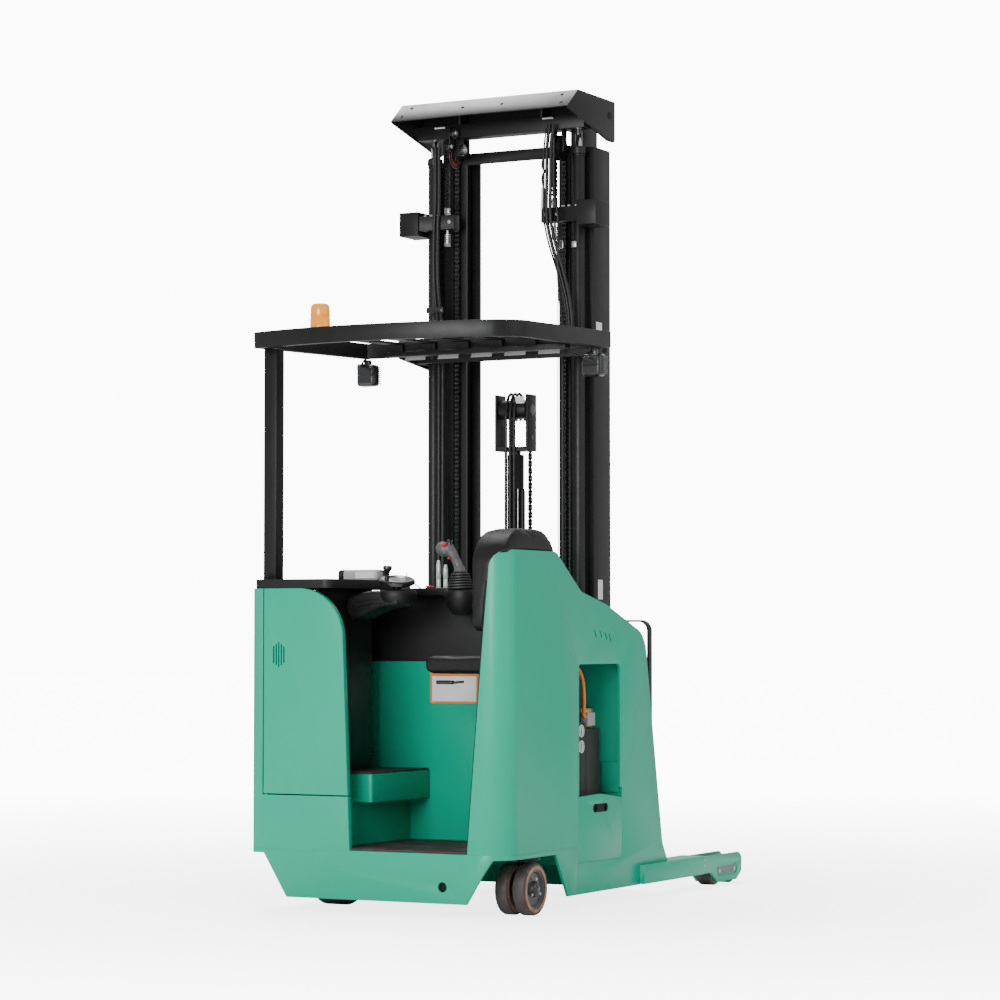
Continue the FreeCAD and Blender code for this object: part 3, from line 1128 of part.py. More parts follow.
def sheaves_and_chains():
    rear_y = CHAIN_Y - 2 * SHEAVE_PITCH_R
    mid_y = CHAIN_Y - SHEAVE_PITCH_R
    x0 = SHEAVE_X - SHEAVE_W / 2
    wheel = rod_x(x0, x0 + SHEAVE_W, mid_y, SHEAVE_Z, SHEAVE_R)
    groove = wheel.cut(rod_x(x0 - 1, x0 + SHEAVE_W + 1, mid_y, SHEAVE_Z,
                             SHEAVE_PITCH_R - CHAIN_T / 2 - 1))
    groove = groove.common(box(x0 + 3, x0 + SHEAVE_W - 3, 0, FAR, 0, FAR))
    wheel = wheel.cut(groove)
    hanger = box(x0 - 14, x0 - 4, mid_y - 16, mid_y + 16, SHEAVE_Z - 20, HEAD_Z)
    hanger_out = box(x0 + SHEAVE_W + 4, x0 + SHEAVE_W + 14, mid_y - 16, mid_y + 16, SHEAVE_Z - 20,
                     HEAD_Z)
    pin = rod_x(x0 - 14, x0 + SHEAVE_W + 14, mid_y, SHEAVE_Z, SHEAVE_PIN_R)
    save("mast_sheaves", Part.makeCompound(both_sides(join([wheel, hanger, hanger_out, pin]))))
    strand_w = SHEAVE_W - 8
    half = strand_w / 2.0
    short = box(SHEAVE_X - half, SHEAVE_X + half, rear_y - CHAIN_T / 2, rear_y + CHAIN_T / 2,
                CHAIN_ANCHOR_Z, SHEAVE_Z)
    save("anchor_chains", Part.makeCompound(both_sides(short)))
    long = box(SHEAVE_X - half, SHEAVE_X + half, CHAIN_Y - CHAIN_T / 2, CHAIN_Y + CHAIN_T / 2,
               CHAIN_FOOT_Z, SHEAVE_Z)
    save("lift_chains", Part.makeCompound(both_sides(long)))


def anchor_brackets():
    arm = box(ANCHOR_IN_X, ANCHOR_OUT_X, ANCHOR_REAR_Y, ANCHOR_FRONT_Y, ANCHOR_Z, ANCHOR_Z + ANCHOR_H)
    rear = MAST_MID_Y - OUTER_DEPTH / 2.0
    head = box(CYL_X + CYL_R + 6, ANCHOR_OUT_X, ANCHOR_REAR_Y - 10, rear - PANEL_GAP, ANCHOR_Z - 20,
               ANCHOR_Z - 20 + ANCHOR_BOX_H)
    rear_y = CHAIN_Y - 2 * SHEAVE_PITCH_R
    bolt = rod_z(ANCHOR_Z + ANCHOR_H - 1, CHAIN_ANCHOR_Z - PANEL_GAP, SHEAVE_X, rear_y, 9)
    save("anchor_brackets", Part.makeCompound(both_sides(join([arm, head, bolt]))))
    hoses = []
    side = CYL_X - 2 * CYL_R
    front = MAST_TIE_Y + MAST_TIE_T + PANEL_GAP
    back = MAST_TIE_Y - 2 * HOSE_R
    tie_top = MAST_TIE_Z + MAST_TIE_H
    for x, top_x, r in ((-side, 34 - side, HOSE_R), (2.4 * HOSE_R - side, 34 + 2.4 * HOSE_R - side, HOSE_R),
                        (side, side - 60, HOSE_R * 0.7)):
        y = front + r
        hoses.append(tube([(x, y, HOSE_FOOT_Z), (x, y, MAST_TIE_Z - 500), (x, y, MAST_TIE_Z),
                           (x, y, tie_top + 10), (x, back, tie_top + 240), (x, back, ANCHOR_Z),
                           (top_x, back, SHEAVE_Z - 150), (top_x, back, HOOD_LOW_Z - 6)], r))
    save("hoses_middle", Part.makeCompound(hoses))


def inner_mast():
    rails = both_sides(join([stage(2, INNER_BOTTOM_Z, INNER_TOP_Z), guide_roller(2, ROLLER_Z)]))
    in_x = stage_face(2) - STAGE_WIDTH
    half = (OUTER_DEPTH - 2 * DEPTH_STEP) / 2.0
    rear = MAST_MID_Y - half
    foot = box(-in_x - 5, in_x + 5, rear, rear + INNER_TIE_T, INNER_TIE_Z, FREE_FOOT_Z)
    shelf = box(-50, 50, rear, FREE_Y + FREE_R, FREE_FOOT_Z - 18, FREE_FOOT_Z)
    top = box(-in_x - 5, in_x + 5, rear, rear + INNER_TIE_T - 6, INNER_TOP_Z - INNER_HEAD_H, INNER_TOP_Z)
    ear = box(SHEAVE_X - 9, SHEAVE_X + 9, CHAIN_Y - 5, rear + 1, CHAIN_FOOT_Z - 40,
              CHAIN_FOOT_Z - PANEL_GAP)
    save("inner_mast", join(rails + [foot, shelf, top] + both_sides(ear)))


def free_lift():
    tube = rod_z(FREE_FOOT_Z, FREE_TOP_Z, 0, FREE_Y, FREE_R)
    bore = rod_z(FREE_FOOT_Z + 40, FREE_TOP_Z + 1, 0, FREE_Y, FREE_BORE_R)
    save("freelift_barrel", tube.cut(bore))
    rod = rod_z(FREE_ROD_FOOT_Z, FREE_HEAD_Z + 10, 0, FREE_Y, FREE_ROD_R)
    piston = rod_z(FREE_ROD_FOOT_Z, FREE_ROD_FOOT_Z + PISTON_H, 0, FREE_Y, FREE_BORE_R - RUN_CLEAR)
    save("freelift_rod", join([rod, piston]))
    cheeks = []
    for x in (-FREE_HEAD_HALF, FREE_HEAD_HALF - FREE_HEAD_T):
        cheeks.append(box(x, x + FREE_HEAD_T, FREE_HEAD_REAR_Y, FREE_HEAD_FRONT_Y, FREE_HEAD_Z,
                          FREE_HEAD_TOP_Z))
    floor = box(-FREE_HEAD_HALF, FREE_HEAD_HALF, FREE_HEAD_REAR_Y, FREE_HEAD_FRONT_Y, FREE_HEAD_Z,
                FREE_HEAD_Z + 18)
    mid_y = (FREE_HEAD_REAR_Y + FREE_HEAD_FRONT_Y) / 2.0
    mid_z = FREE_HEAD_TOP_Z - FREE_SHEAVE_R - 22
    pin = rod_x(-FREE_HEAD_HALF, FREE_HEAD_HALF, mid_y, mid_z, 12)
    wheels = rod_x(-FREE_HEAD_HALF + 16, FREE_HEAD_HALF - 16, mid_y, mid_z, FREE_SHEAVE_R)
    floor = floor.cut(rod_z(FREE_HEAD_Z - 1, FREE_HEAD_Z + 10, 0, FREE_Y, FREE_ROD_R + PANEL_GAP))
    save("freelift_head", join(cheeks + [floor, pin, wheels]))
    front_y = mid_y + FREE_SHEAVE_R + PANEL_GAP
    strands = []
    for x in (-FREE_SHEAVE_X, FREE_SHEAVE_X):
        strands.append(box(x - FREE_CHAIN_W / 2, x + FREE_CHAIN_W / 2, front_y,
                           front_y + FREE_CHAIN_T, CARRIAGE_TOP_Z + PANEL_GAP, mid_z))
    save("freelift_chains", Part.makeCompound(strands))


# ---------------------------------------------------------------- carriage, reach and forks
def arm_points():
    """Upper pin, middle pin and lower end of the two scissor arms, retracted."""
    lean = radians(ARM_REST)
    reach = ARM_LENGTH * sin(lean)
    drop = ARM_LENGTH * cos(lean)
    top_a = (PIN_CARRIAGE_Y, PIN_TOP_Z)
    top_b = (PIN_CARRIAGE_Y + reach, PIN_TOP_Z)
    low_a = (PIN_CARRIAGE_Y + reach, PIN_TOP_Z - drop)
    low_b = (PIN_CARRIAGE_Y, PIN_TOP_Z - drop)
    mid = (PIN_CARRIAGE_Y + reach / 2.0, PIN_TOP_Z - drop / 2.0)
    return top_a, top_b, low_a, low_b, mid


def track(y, x0, x1):
    """Two upright flanges that a scissor arm's lower roller runs between."""
    half = ARM_ROLLER_R + RUN_CLEAR
    return [box(x0, x1, y - half - TRACK_T, y - half, CARRIAGE_BOTTOM_Z, TRACK_TOP_Z),
            box(x0, x1, y + half, y + half + TRACK_T, CARRIAGE_BOTTOM_Z, TRACK_TOP_Z)]


def lift_carriage():
    """Side plates with guide rollers, cross ties, upper scissor pins and lower roller tracks."""
    top_a, top_b, low_a, low_b, mid = arm_points()
    out_x = CARRIAGE_OUT_X
    plate = box(out_x - CARRIAGE_T, out_x, CARRIAGE_PLATE_Y, CARRIAGE_FRONT_Y, CARRIAGE_BOTTOM_Z,
                CARRIAGE_TOP_Z)
    rollers = []
    half = (OUTER_DEPTH - 2 * DEPTH_STEP) / 2.0 - FLANGE_T - RUN_CLEAR
    for z in CARRIAGE_ROLLER_Z:
        rollers.append(rod_x(out_x + 2, out_x + 2 + ROLLER_W, MAST_MID_Y, z, half))
        rollers.append(rod_x(out_x - 1, out_x + 3, MAST_MID_Y, z, ROLLER_PIN_R))
    pin = rod_x(ARM_A_X - ARM_T / 2, out_x, top_a[0], top_a[1], ARM_PIN_R)
    tracks = track(low_b[0], ARM_B_X + ARM_T / 2 + 4, out_x - CARRIAGE_T + 1)
    side = join([plate, pin] + rollers + tracks)
    ties = []
    for z in (CARRIAGE_BOTTOM_Z, CARRIAGE_TOP_Z - CARRIAGE_TIE_H):
        ties.append(box(-out_x, out_x, CARRIAGE_REAR_Y, CARRIAGE_REAR_Y + 16, z, z + CARRIAGE_TIE_H))
    save("lift_carriage", join(both_sides(side) + ties))


def arm_bar(top, low, x_mid):
    """Flat bar with round ends between two points of the scissor."""
    dy = low[0] - top[0]
    dz = low[1] - top[1]
    length = sqrt(dy * dy + dz * dz)
    half = ARM_W / 2.0
    bar = box(x_mid - ARM_T / 2, x_mid + ARM_T / 2, -half, half, -length, 0)
    ends = [rod_x(x_mid - ARM_T / 2, x_mid + ARM_T / 2, 0, z, half) for z in (0, -length)]
    bar = join([bar] + ends)
    bar.rotate(vec(0, 0, 0), vec(1, 0, 0), degrees(atan2(dy, -dz)))
    bar.translate(vec(0, top[0], top[1]))
    return bar


def scissor():
    """Both pairs of crossing arms; each pair shares the middle pin, fixed in the A arms."""
    top_a, top_b, low_a, low_b, mid = arm_points()
    bore_r = ARM_PIN_R + RUN_CLEAR
    half = ARM_T / 2.0
    arm_a = arm_bar(top_a, low_a, ARM_A_X)
    arm_a = arm_a.cut(rod_x(ARM_A_X - 50, ARM_A_X + 50, top_a[0], top_a[1], bore_r))
    tube = rod_x(-ARM_A_X - half, ARM_A_X + half, mid[0], mid[1], ARM_PIN_R)
    roller_a = rod_x(FRONT_IN_X + FRONT_PLATE_T + 6, ARM_A_X - half - 6, low_a[0], low_a[1], ARM_ROLLER_R)
    stub_a = rod_x(FRONT_IN_X + FRONT_PLATE_T + 8, ARM_A_X, low_a[0], low_a[1], ARM_PIN_R)
    save("reach_arm_a", join(both_sides(join([arm_a, roller_a, stub_a])) + [tube]))
    arm_b = arm_bar(top_b, low_b, ARM_B_X)
    arm_b = arm_b.cut([rod_x(ARM_B_X - 50, ARM_B_X + 50, mid[0], mid[1], bore_r),
                       rod_x(ARM_B_X - 50, ARM_B_X + 50, top_b[0], top_b[1], bore_r)])
    roller_b = rod_x(ARM_B_X + half + 6, CARRIAGE_OUT_X - CARRIAGE_T - 6, low_b[0], low_b[1], ARM_ROLLER_R)
    stub_b = rod_x(ARM_B_X, CARRIAGE_OUT_X - CARRIAGE_T - 8, low_b[0], low_b[1], ARM_PIN_R)
    cross_b = rod_x(-ARM_B_X, ARM_B_X, low_b[0], low_b[1], ARM_PIN_R)
    save("reach_arm_b", join(both_sides(join([arm_b, roller_b, stub_b])) + [cross_b]))


def reach_head():
    """Front frame of the scissor, with the pins of the B arms and of the tilting carriage."""
    top_a, top_b, low_a, low_b, mid = arm_points()
    outer = FRONT_IN_X + FRONT_PLATE_T
    plate = box(FRONT_IN_X, outer, FRONT_REAR_Y, FRONT_FACE_Y, FRONT_BOTTOM_Z, FRONT_TOP_Z)
    pin = rod_x(FRONT_IN_X, ARM_B_X + ARM_T / 2, top_b[0], top_b[1], ARM_PIN_R)
    tracks = track(low_a[0], outer - 1, ARM_A_X - ARM_T / 2 - 4)
    side = join([plate, pin] + tracks)
    ties = []
    for z in (FRONT_BOTTOM_Z + 10, FRONT_TOP_Z - 90):
        ties.append(box(-FRONT_IN_X - 2, FRONT_IN_X + 2, FRONT_REAR_Y, FRONT_REAR_Y + 14, z, z + 80))
    reach = EAR_X + EAR_T + 3
    tilt = rod_x(-reach, reach, TILT_PIN_Y, TILT_PIN_Z, TILT_PIN_R)
    save("reach_head", join(both_sides(side) + ties + [tilt]))


def fork_frame():
    """Fork carriage hung on the tilt pin, and the load backrest bolted to it."""
    y0 = FORK_BAR_REAR_Y
    y1 = y0 + FORK_BAR_T
    low = box(-FORK_BAR_HALF, FORK_BAR_HALF, y0, y1, FORK_BAR_LOW_Z, FORK_BAR_LOW_Z + FORK_BAR_H)
    top_z = FORK_BAR_LOW_Z + FORK_BAR_RISE
    high = box(-FORK_BAR_HALF, FORK_BAR_HALF, y0, y1, top_z - FORK_BAR_H, top_z)
    ear = prism([(TILT_PIN_Y - 26, TILT_PIN_Z - 26, 20), (y0 + 6, top_z - FORK_BAR_H, 0),
                 (y0 + 6, TILT_PIN_Z + 26, 0), (TILT_PIN_Y - 26, TILT_PIN_Z + 26, 20)],
                EAR_X, EAR_X + EAR_T, "yz")
    ear = ear.cut(rod_x(EAR_X - 10, EAR_X + 30, TILT_PIN_Y, TILT_PIN_Z, TILT_PIN_R + RUN_CLEAR))
    rail_z = BACKREST_RAIL_Z
    post = box(FORK_BAR_HALF - 60, FORK_BAR_HALF - 20, y0, y1, FORK_BAR_LOW_Z + 20, rail_z - PANEL_GAP)
    save("fork_frame", join([low, high] + both_sides(ear) + both_sides(post)))
    outer = [(-BACKREST_HALF, rail_z, 0), (BACKREST_HALF, rail_z, 0),
             (BACKREST_HALF, BACKREST_TOP_Z, BACKREST_R), (-BACKREST_HALF, BACKREST_TOP_Z, BACKREST_R)]
    half = BACKREST_HALF - BACKREST_T
    top = BACKREST_TOP_Z - BACKREST_T
    inner = [(-half, rail_z - 1, 0), (half, rail_z - 1, 0), (half, top, BACKREST_R - BACKREST_T),
             (-half, top, BACKREST_R - BACKREST_T)]
    hoop = prism(outer, y0, y0 + BACKREST_BAR, "xz").cut(
        prism(inner, y0 - 1, y0 + BACKREST_BAR + 1, "xz"))
    rails = [box(-half - 1, half + 1, y0, y0 + 12, rail_z, rail_z + 40)]
    for i in range(BACKREST_BAR_COUNT):
        x = -BACKREST_HALF + 2.0 * BACKREST_HALF * (i + 1) / (BACKREST_BAR_COUNT + 1)
        rails.append(box(x - 8, x + 8, y0 + 2, y0 + 14, rail_z + 1, BACKREST_TOP_Z - 2))
    ears = EAR_X + EAR_T + PANEL_GAP
    room = box(EAR_X - PANEL_GAP, ears, 0, y0 + 6 + PANEL_GAP, 0, TILT_PIN_Z + 27)
    save("load_backrest", join([hoop] + rails).cut(both_sides(room)))


def forks():
    shapes = []
    heel = FORK_HEEL_Y
    top_z = FORK_BAR_LOW_Z + FORK_BAR_RISE
    for side in (1, -1):
        x0 = FORK_X - FORK_W / 2
        blade = prism([(heel, FORK_LOW_Z, 18), (FORK_TIP_Y, FORK_LOW_Z, 0),
                       (FORK_TIP_Y, FORK_LOW_Z + FORK_TIP_T, 0),
                       (FORK_TIP_Y - FORK_TIP_TAPER, FORK_LOW_Z + FORK_T, 0),
                       (heel + FORK_T, FORK_LOW_Z + FORK_T, 0),
                       (heel + FORK_T, top_z + 22, 0), (heel, top_z + 22, 0)],
                      x0, x0 + FORK_W, "yz")
        hook = box(x0, x0 + FORK_W, heel - FORK_BAR_T * 0.6, heel + 1, top_z + PANEL_GAP, top_z + 22)
        blade = blade.fuse(hook).removeSplitter()
        shapes.append(blade if side > 0 else mirrored(blade))
    save("forks", Part.makeCompound(shapes))


chassis_frame()
left_side_shell()
right_side_shell()
battery_panel()
bulkhead()
hood_top()
battery_pack()
rear_door()
cabin_lining()
kick_panel()
step_box()
floor_mats()
dash_top()
steering()
lever()
back_pad()
seat()
overhead_guard()
rear_post()
guard_brackets()
lights()
save("leg_left", leg(-1))
save("leg_right", leg(1))
for side_name, side_sign in (("left", -1), ("right", 1)):
    for wheel_name, wheel_index in (("rear", 0), ("front", 1)):
        save("load_wheel_" + side_name + "_" + wheel_name, load_wheel(side_sign, wheel_index))
drive_parts()
caster_parts()
outer_mast()
lift_cylinders()
middle_mast()
mast_hood()
sheaves_and_chains()
anchor_brackets()
inner_mast()
free_lift()
lift_carriage()
scissor()
reach_head()
fork_frame()
forks()
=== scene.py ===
"""Looks of a stand-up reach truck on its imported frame: paint, rubber, chains, hoses, fittings."""

import json
import math

import bmesh
import bpy
from bpy.props import FloatProperty, FloatVectorProperty, IntProperty, PointerProperty
from mathutils import Matrix, Vector

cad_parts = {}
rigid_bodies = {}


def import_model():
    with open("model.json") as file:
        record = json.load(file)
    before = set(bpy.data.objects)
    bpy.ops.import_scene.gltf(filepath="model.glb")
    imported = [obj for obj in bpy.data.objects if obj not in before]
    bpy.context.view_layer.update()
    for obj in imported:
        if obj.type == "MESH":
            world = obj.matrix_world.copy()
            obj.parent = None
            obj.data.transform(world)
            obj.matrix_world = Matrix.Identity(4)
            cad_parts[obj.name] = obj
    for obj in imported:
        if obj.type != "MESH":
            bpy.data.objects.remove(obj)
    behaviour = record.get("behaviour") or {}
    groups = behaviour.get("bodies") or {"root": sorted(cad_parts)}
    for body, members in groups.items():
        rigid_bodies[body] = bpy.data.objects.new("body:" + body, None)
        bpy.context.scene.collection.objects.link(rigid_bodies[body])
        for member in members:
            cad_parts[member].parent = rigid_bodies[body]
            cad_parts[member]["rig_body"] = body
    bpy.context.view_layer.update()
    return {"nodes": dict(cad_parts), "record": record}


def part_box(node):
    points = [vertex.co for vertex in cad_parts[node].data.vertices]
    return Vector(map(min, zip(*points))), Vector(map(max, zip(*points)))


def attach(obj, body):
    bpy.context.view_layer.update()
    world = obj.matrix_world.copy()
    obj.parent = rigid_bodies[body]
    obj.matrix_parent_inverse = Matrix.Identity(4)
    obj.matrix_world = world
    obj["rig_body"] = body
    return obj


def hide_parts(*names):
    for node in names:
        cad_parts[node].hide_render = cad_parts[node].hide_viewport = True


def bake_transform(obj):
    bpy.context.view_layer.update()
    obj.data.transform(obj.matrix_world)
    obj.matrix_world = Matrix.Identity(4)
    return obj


bl_info = {
    "name": "Reach truck dressing",
    "version": (1, 0, 0),
    "blender": (4, 5, 0),
    "location": "3D View > Sidebar > Reach Truck",
    "description": "Builds the visible pieces of a stand-up reach truck around its frame",
    "category": "Object",
}

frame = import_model()
NODES = frame["nodes"]
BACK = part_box("chassis_frame")[0].y

SIDES = (("left", -1), ("right", 1))
FULL_TURN = 2 * math.pi
FLOOR_HALF = 60.0  # metres
FOAM_VOXEL = 0.006  # metres
CLOTH_FRAMES = 20
LINE_STEPS = 8
COAT_ROUGH = 0.12
TONE_STOPS = (0.35, 0.68)
SCUFF_FADE = 0.12

# Places that several pieces share, in metres in the truck's frame
STEERING = (-0.072, 0.3)
STOP_SWITCH = (-0.088, 0.6)
LEVER = (0.114, 0.498)
CASTER = (0.505, 0.285, 0.1045)
DRIVE_WHEEL = (-0.385, 0.37, 0.1715)
LOAD_WHEEL_X, LOAD_WHEEL_Y, LOAD_WHEEL_STEP, LOAD_WHEEL_RADIUS = 0.553, 1.993, 0.17, 0.0635
CHAIN_WIDTH, CHAIN_DEPTH, CHAIN_TOP = 0.02, 0.0165, 3.19
HOSE_FOOT, HOSE_HEAD = 1.373, 3.226
CHAIN_X = 0.262
SHEAVE_X, SHEAVE_Y, SHEAVE_Z = 0.2487, 1.109, 3.196
HEAD_PIN_Y = 1.204
ROD_Y = 1.064
CYLINDER_Y = 1.11
SLOT_Y, SLOT_Z, SLOT_HALF = 0.842, 0.399, 0.052


def at(x, y, z):
    """A point of the truck: x to its right, y forwards from the body's rear face, z up."""
    return Vector((x, y + BACK, z))


# ---------------------------------------------------------------- settings
def shade(name, about, value):
    """Colour setting with its default."""
    return FloatVectorProperty(name=name, description=about, subtype="COLOR", size=3,
                               default=value, min=0, max=1)


class TruckColours(bpy.types.PropertyGroup):
    """Colours of the truck's finishes."""

    enamel: shade("Body enamel", "Colour of the body panels", (0.0, 0.37, 0.225))
    powder: shade("Powder coat", "Colour of the mast and the guard", (0.007, 0.007, 0.0075))
    plastic: shade("Moulded plastic", "Colour of dash and covers", (0.009, 0.009, 0.0095))
    tread: shade("Polyurethane", "Colour of the wheel treads", (0.06, 0.045, 0.043))
    lens: shade("Beacon lens", "Colour of the warning beacon", (1.0, 0.36, 0.015))


class TruckSizes(bpy.types.PropertyGroup):
    """Sizes that a user would change."""

    pitch: FloatProperty(name="Chain pitch", description="Pin to pin length of the mast chains",
                         default=0.01905, unit="LENGTH", min=0.01, max=0.04)
    free_pitch: FloatProperty(name="Free lift chain pitch", description="Pin to pin length",
                              default=0.015875, unit="LENGTH", min=0.01, max=0.04)
    ribs: IntProperty(name="Bellows ribs", description="Folds of the lever's bellows",
                      default=6, min=3, max=12)
    lens_mm: FloatProperty(name="Camera lens", description="Focal length on a 36 mm sensor",
                           default=109.6, min=20, max=300)


def colours():
    return bpy.context.scene.truck_colours


def sizes():
    return bpy.context.scene.truck_sizes


# ---------------------------------------------------------------- finishes
def put(node, values):
    """Sets a node's inputs by their names."""
    for label, value in values.items():
        node.inputs[label].default_value = value


def noise(tree, place, scale, detail, rough=0.5):
    """Output of a noise texture laid out by a vector."""
    texture = tree.nodes.new("ShaderNodeTexNoise")
    put(texture, {"Scale": scale, "Detail": detail, "Roughness": rough})
    tree.links.new(place, texture.inputs["Vector"])
    return texture.outputs["Fac"]


def finish(name, colour, rough, metallic=0.0, coat=0.0, mottle=0.12, patch=5.0, grain=500.0,
           bump=0.08, relief=0.0006, spread=0.08, cells=False, wear=None, shine=0.5):
    """A material with drifting tone, drifting gloss and a fine surface relief.

    Wear, if any, is the colour, scale, threshold and strength of its scuffs."""
    mat = bpy.data.materials.get(name)
    if mat:
        return mat
    mat = bpy.data.materials.new(name)
    mat.use_nodes = True
    tree = mat.node_tree
    nodes, links = tree.nodes, tree.links
    shader = nodes["Principled BSDF"]
    put(shader, {"Metallic": metallic, "Coat Weight": coat, "Coat Roughness": COAT_ROUGH,
                 "Specular IOR Level": shine})
    place = nodes.new("ShaderNodeTexCoord").outputs["Object"]
    ramp = nodes.new("ShaderNodeValToRGB")
    low = [c * (1 - mottle) for c in colour]
    high = [min(1.0, c * (1 + mottle * 0.6)) for c in colour]
    for stop, position, tone in zip(ramp.color_ramp.elements, TONE_STOPS, (low, high)):
        stop.position = position
        stop.color = (*tone, 1)
    links.new(noise(tree, place, patch, 5.0), ramp.inputs["Fac"])
    colour_out = ramp.outputs["Color"]
    if wear:
        tint, scale, threshold, strength = wear
        edge = nodes.new("ShaderNodeMapRange")
        put(edge, {"From Min": threshold, "From Max": threshold + SCUFF_FADE, "To Max": strength})
        links.new(noise(tree, place, scale, 8.0, 0.7), edge.inputs["Value"])
        mix = nodes.new("ShaderNodeMix")
        mix.data_type = "RGBA"
        mix.inputs[7].default_value = (*tint, 1)
        links.new(edge.outputs["Result"], mix.inputs[0])
        links.new(colour_out, mix.inputs[6])
        colour_out = mix.outputs[2]
    links.new(colour_out, shader.inputs["Base Color"])
    gloss = nodes.new("ShaderNodeMapRange")
    put(gloss, {"To Min": max(0.02, rough - spread), "To Max": min(1.0, rough + spread)})
    links.new(noise(tree, place, patch * 4, 4.0), gloss.inputs["Value"])
    links.new(gloss.outputs["Result"], shader.inputs["Roughness"])
    fine = nodes.new("ShaderNodeTexVoronoi" if cells else "ShaderNodeTexNoise")
    put(fine, {"Scale": grain})
    links.new(place, fine.inputs["Vector"])
    raised = nodes.new("ShaderNodeBump")
    put(raised, {"Strength": bump, "Distance": relief})
    links.new(fine.outputs["Distance" if cells else "Fac"], raised.inputs["Height"])
    links.new(raised.outputs["Normal"], shader.inputs["Normal"])
    return mat


def enamel():
    return finish("Body enamel", colours().enamel, 0.36, coat=0.06, shine=0.25, mottle=0.03,
        patch=2.0, grain=260, bump=0.05, relief=0.0004, spread=0.04)


def powder():
    return finish("Black powder coat", colours().powder, 0.4, mottle=0.2, patch=4,
                  grain=900, bump=0.18, relief=0.0005, shine=0.3)


def forged():
    return finish("Black machine enamel", (0.009, 0.009, 0.0095), 0.42, mottle=0.25, patch=9,
                  grain=700, bump=0.2, relief=0.0006, wear=((0.05, 0.048, 0.046), 30, 0.66, 0.4),
                  shine=0.35)


def plastic():
    return finish("Grained moulding", colours().plastic, 0.46, mottle=0.12, patch=7, grain=900,
                  bump=0.3, relief=0.0005, cells=True, shine=0.3)


def gloss_black():
    return finish("Gloss black plastic", (0.012, 0.012, 0.012), 0.2, coat=0.4, mottle=0.1,
                  grain=400, bump=0.02)


def mat_rubber():
    return finish("Ribbed mat rubber", (0.035, 0.033, 0.034), 0.78, mottle=0.3, patch=12, grain=420,
                  bump=0.6, relief=0.0012, cells=True, wear=((0.12, 0.11, 0.11), 9, 0.52, 0.6))


def leatherette():
    return finish("Black leatherette", (0.006, 0.006, 0.0064), 0.42, mottle=0.15, patch=6,
        grain=620, bump=0.4, relief=0.0007, cells=True, shine=0.25)


def polyurethane():
    return finish("Worn polyurethane", colours().tread, 0.6, mottle=0.25, patch=18, grain=300,
                  bump=0.25, relief=0.0008, wear=((0.16, 0.11, 0.09), 26, 0.55, 0.5))


def tread_edge():
    return finish("Polyurethane edge", (0.36, 0.19, 0.12), 0.62, mottle=0.3, patch=26, grain=300,
                  bump=0.25, wear=((0.1, 0.06, 0.05), 30, 0.55, 0.7))


def zinc():
    return finish("Zinc plate", (0.62, 0.62, 0.6), 0.32, metallic=1.0, mottle=0.15, patch=30,
                  grain=600, bump=0.1, relief=0.0004)


def chrome():
    return finish("Hard chrome", (0.75, 0.75, 0.76), 0.1, metallic=1.0, mottle=0.05, patch=8,
                  grain=900, bump=0.02, spread=0.04)


def oiled_steel():
    return finish("Oiled chain steel", (0.075, 0.075, 0.078), 0.28, metallic=0.9, mottle=0.4,
                  patch=60, grain=500, bump=0.15, spread=0.1)


def hub_enamel():
    return finish("Hub enamel", (0.035, 0.035, 0.037), 0.36, coat=0.2, mottle=0.25, patch=24,
                  grain=500, bump=0.15, wear=((0.2, 0.18, 0.16), 34, 0.6, 0.5))


def hose_rubber():
    return finish("Hose rubber", (0.01, 0.01, 0.01), 0.42, mottle=0.2, patch=20, grain=800,
                  bump=0.25, relief=0.0004, shine=0.4)


def amber():
    mat = finish("Amber lens", colours().lens, 0.18, coat=0.6, mottle=0.25, patch=14, grain=120,
                 bump=0.1)
    put(mat.node_tree.nodes["Principled BSDF"],
        {"Transmission Weight": 0.15, "Emission Color": (1.0, 0.4, 0.02, 1),
         "Emission Strength": 0.45})
    return mat


def smoke_glass():
    return finish("Lamp glass", (0.02, 0.021, 0.023), 0.12, coat=0.5, mottle=0.05, grain=200,
                  bump=0.02)


def plain(name, colour, rough, **more):
    return finish(name, colour, rough, mottle=0.08, patch=16, grain=600, bump=0.08, **more)


def orange_cable():
    return plain("Orange cable", (0.85, 0.16, 0.02), 0.42)


def plug_grey():
    return plain("Grey connector", (0.33, 0.34, 0.35), 0.5)


def battery_grey():
    return plain("Battery case", (0.022, 0.023, 0.024), 0.55)


def pale():
    return plain("Pale plate", (0.78, 0.8, 0.8), 0.42)


def signal_red():
    return plain("Signal red", (0.62, 0.01, 0.02), 0.35)


# Painted shade: a near-black colour that stands in for the shade inside holes, slots and recesses
def painted_hole_shade():
    return plain("Painted hole shade", (0.004, 0.004, 0.004), 0.9)


# ---------------------------------------------------------------- mesh tools
def loop(bm, along, radius, sides):
    """Vertices round the z axis, or one on it where the radius is nothing."""
    if radius < 1e-6:
        return [bm.verts.new((0, 0, along))]
    return [bm.verts.new((radius * math.cos(FULL_TURN * i / sides),
                          radius * math.sin(FULL_TURN * i / sides), along))
            for i in range(sides)]


def bridge(bm, a, b, sides):
    """Faces from one loop to the next, either of which may be a single vertex."""
    for i in range(sides):
        j = (i + 1) % sides
        corners = dict.fromkeys([a[i % len(a)], a[j % len(a)], b[j % len(b)], b[i % len(b)]])
        if len(corners) > 2:
            bm.faces.new(list(corners))


def soften(bm, edges, width, segments):
    """Rounds edges."""
    bmesh.ops.bevel(bm, geom=edges, offset=width, segments=segments, affect="EDGES",
                    profile=0.5, clamp_overlap=True)


def mm(*points):
    """Profile points given in millimetres."""
    return [tuple(value / 1000 for value in point) for point in points]


def disc(radius, height):
    """Profile of a flat disc."""
    return [(0, 0.0), (0, radius), (height, radius), (height, 0.0)]


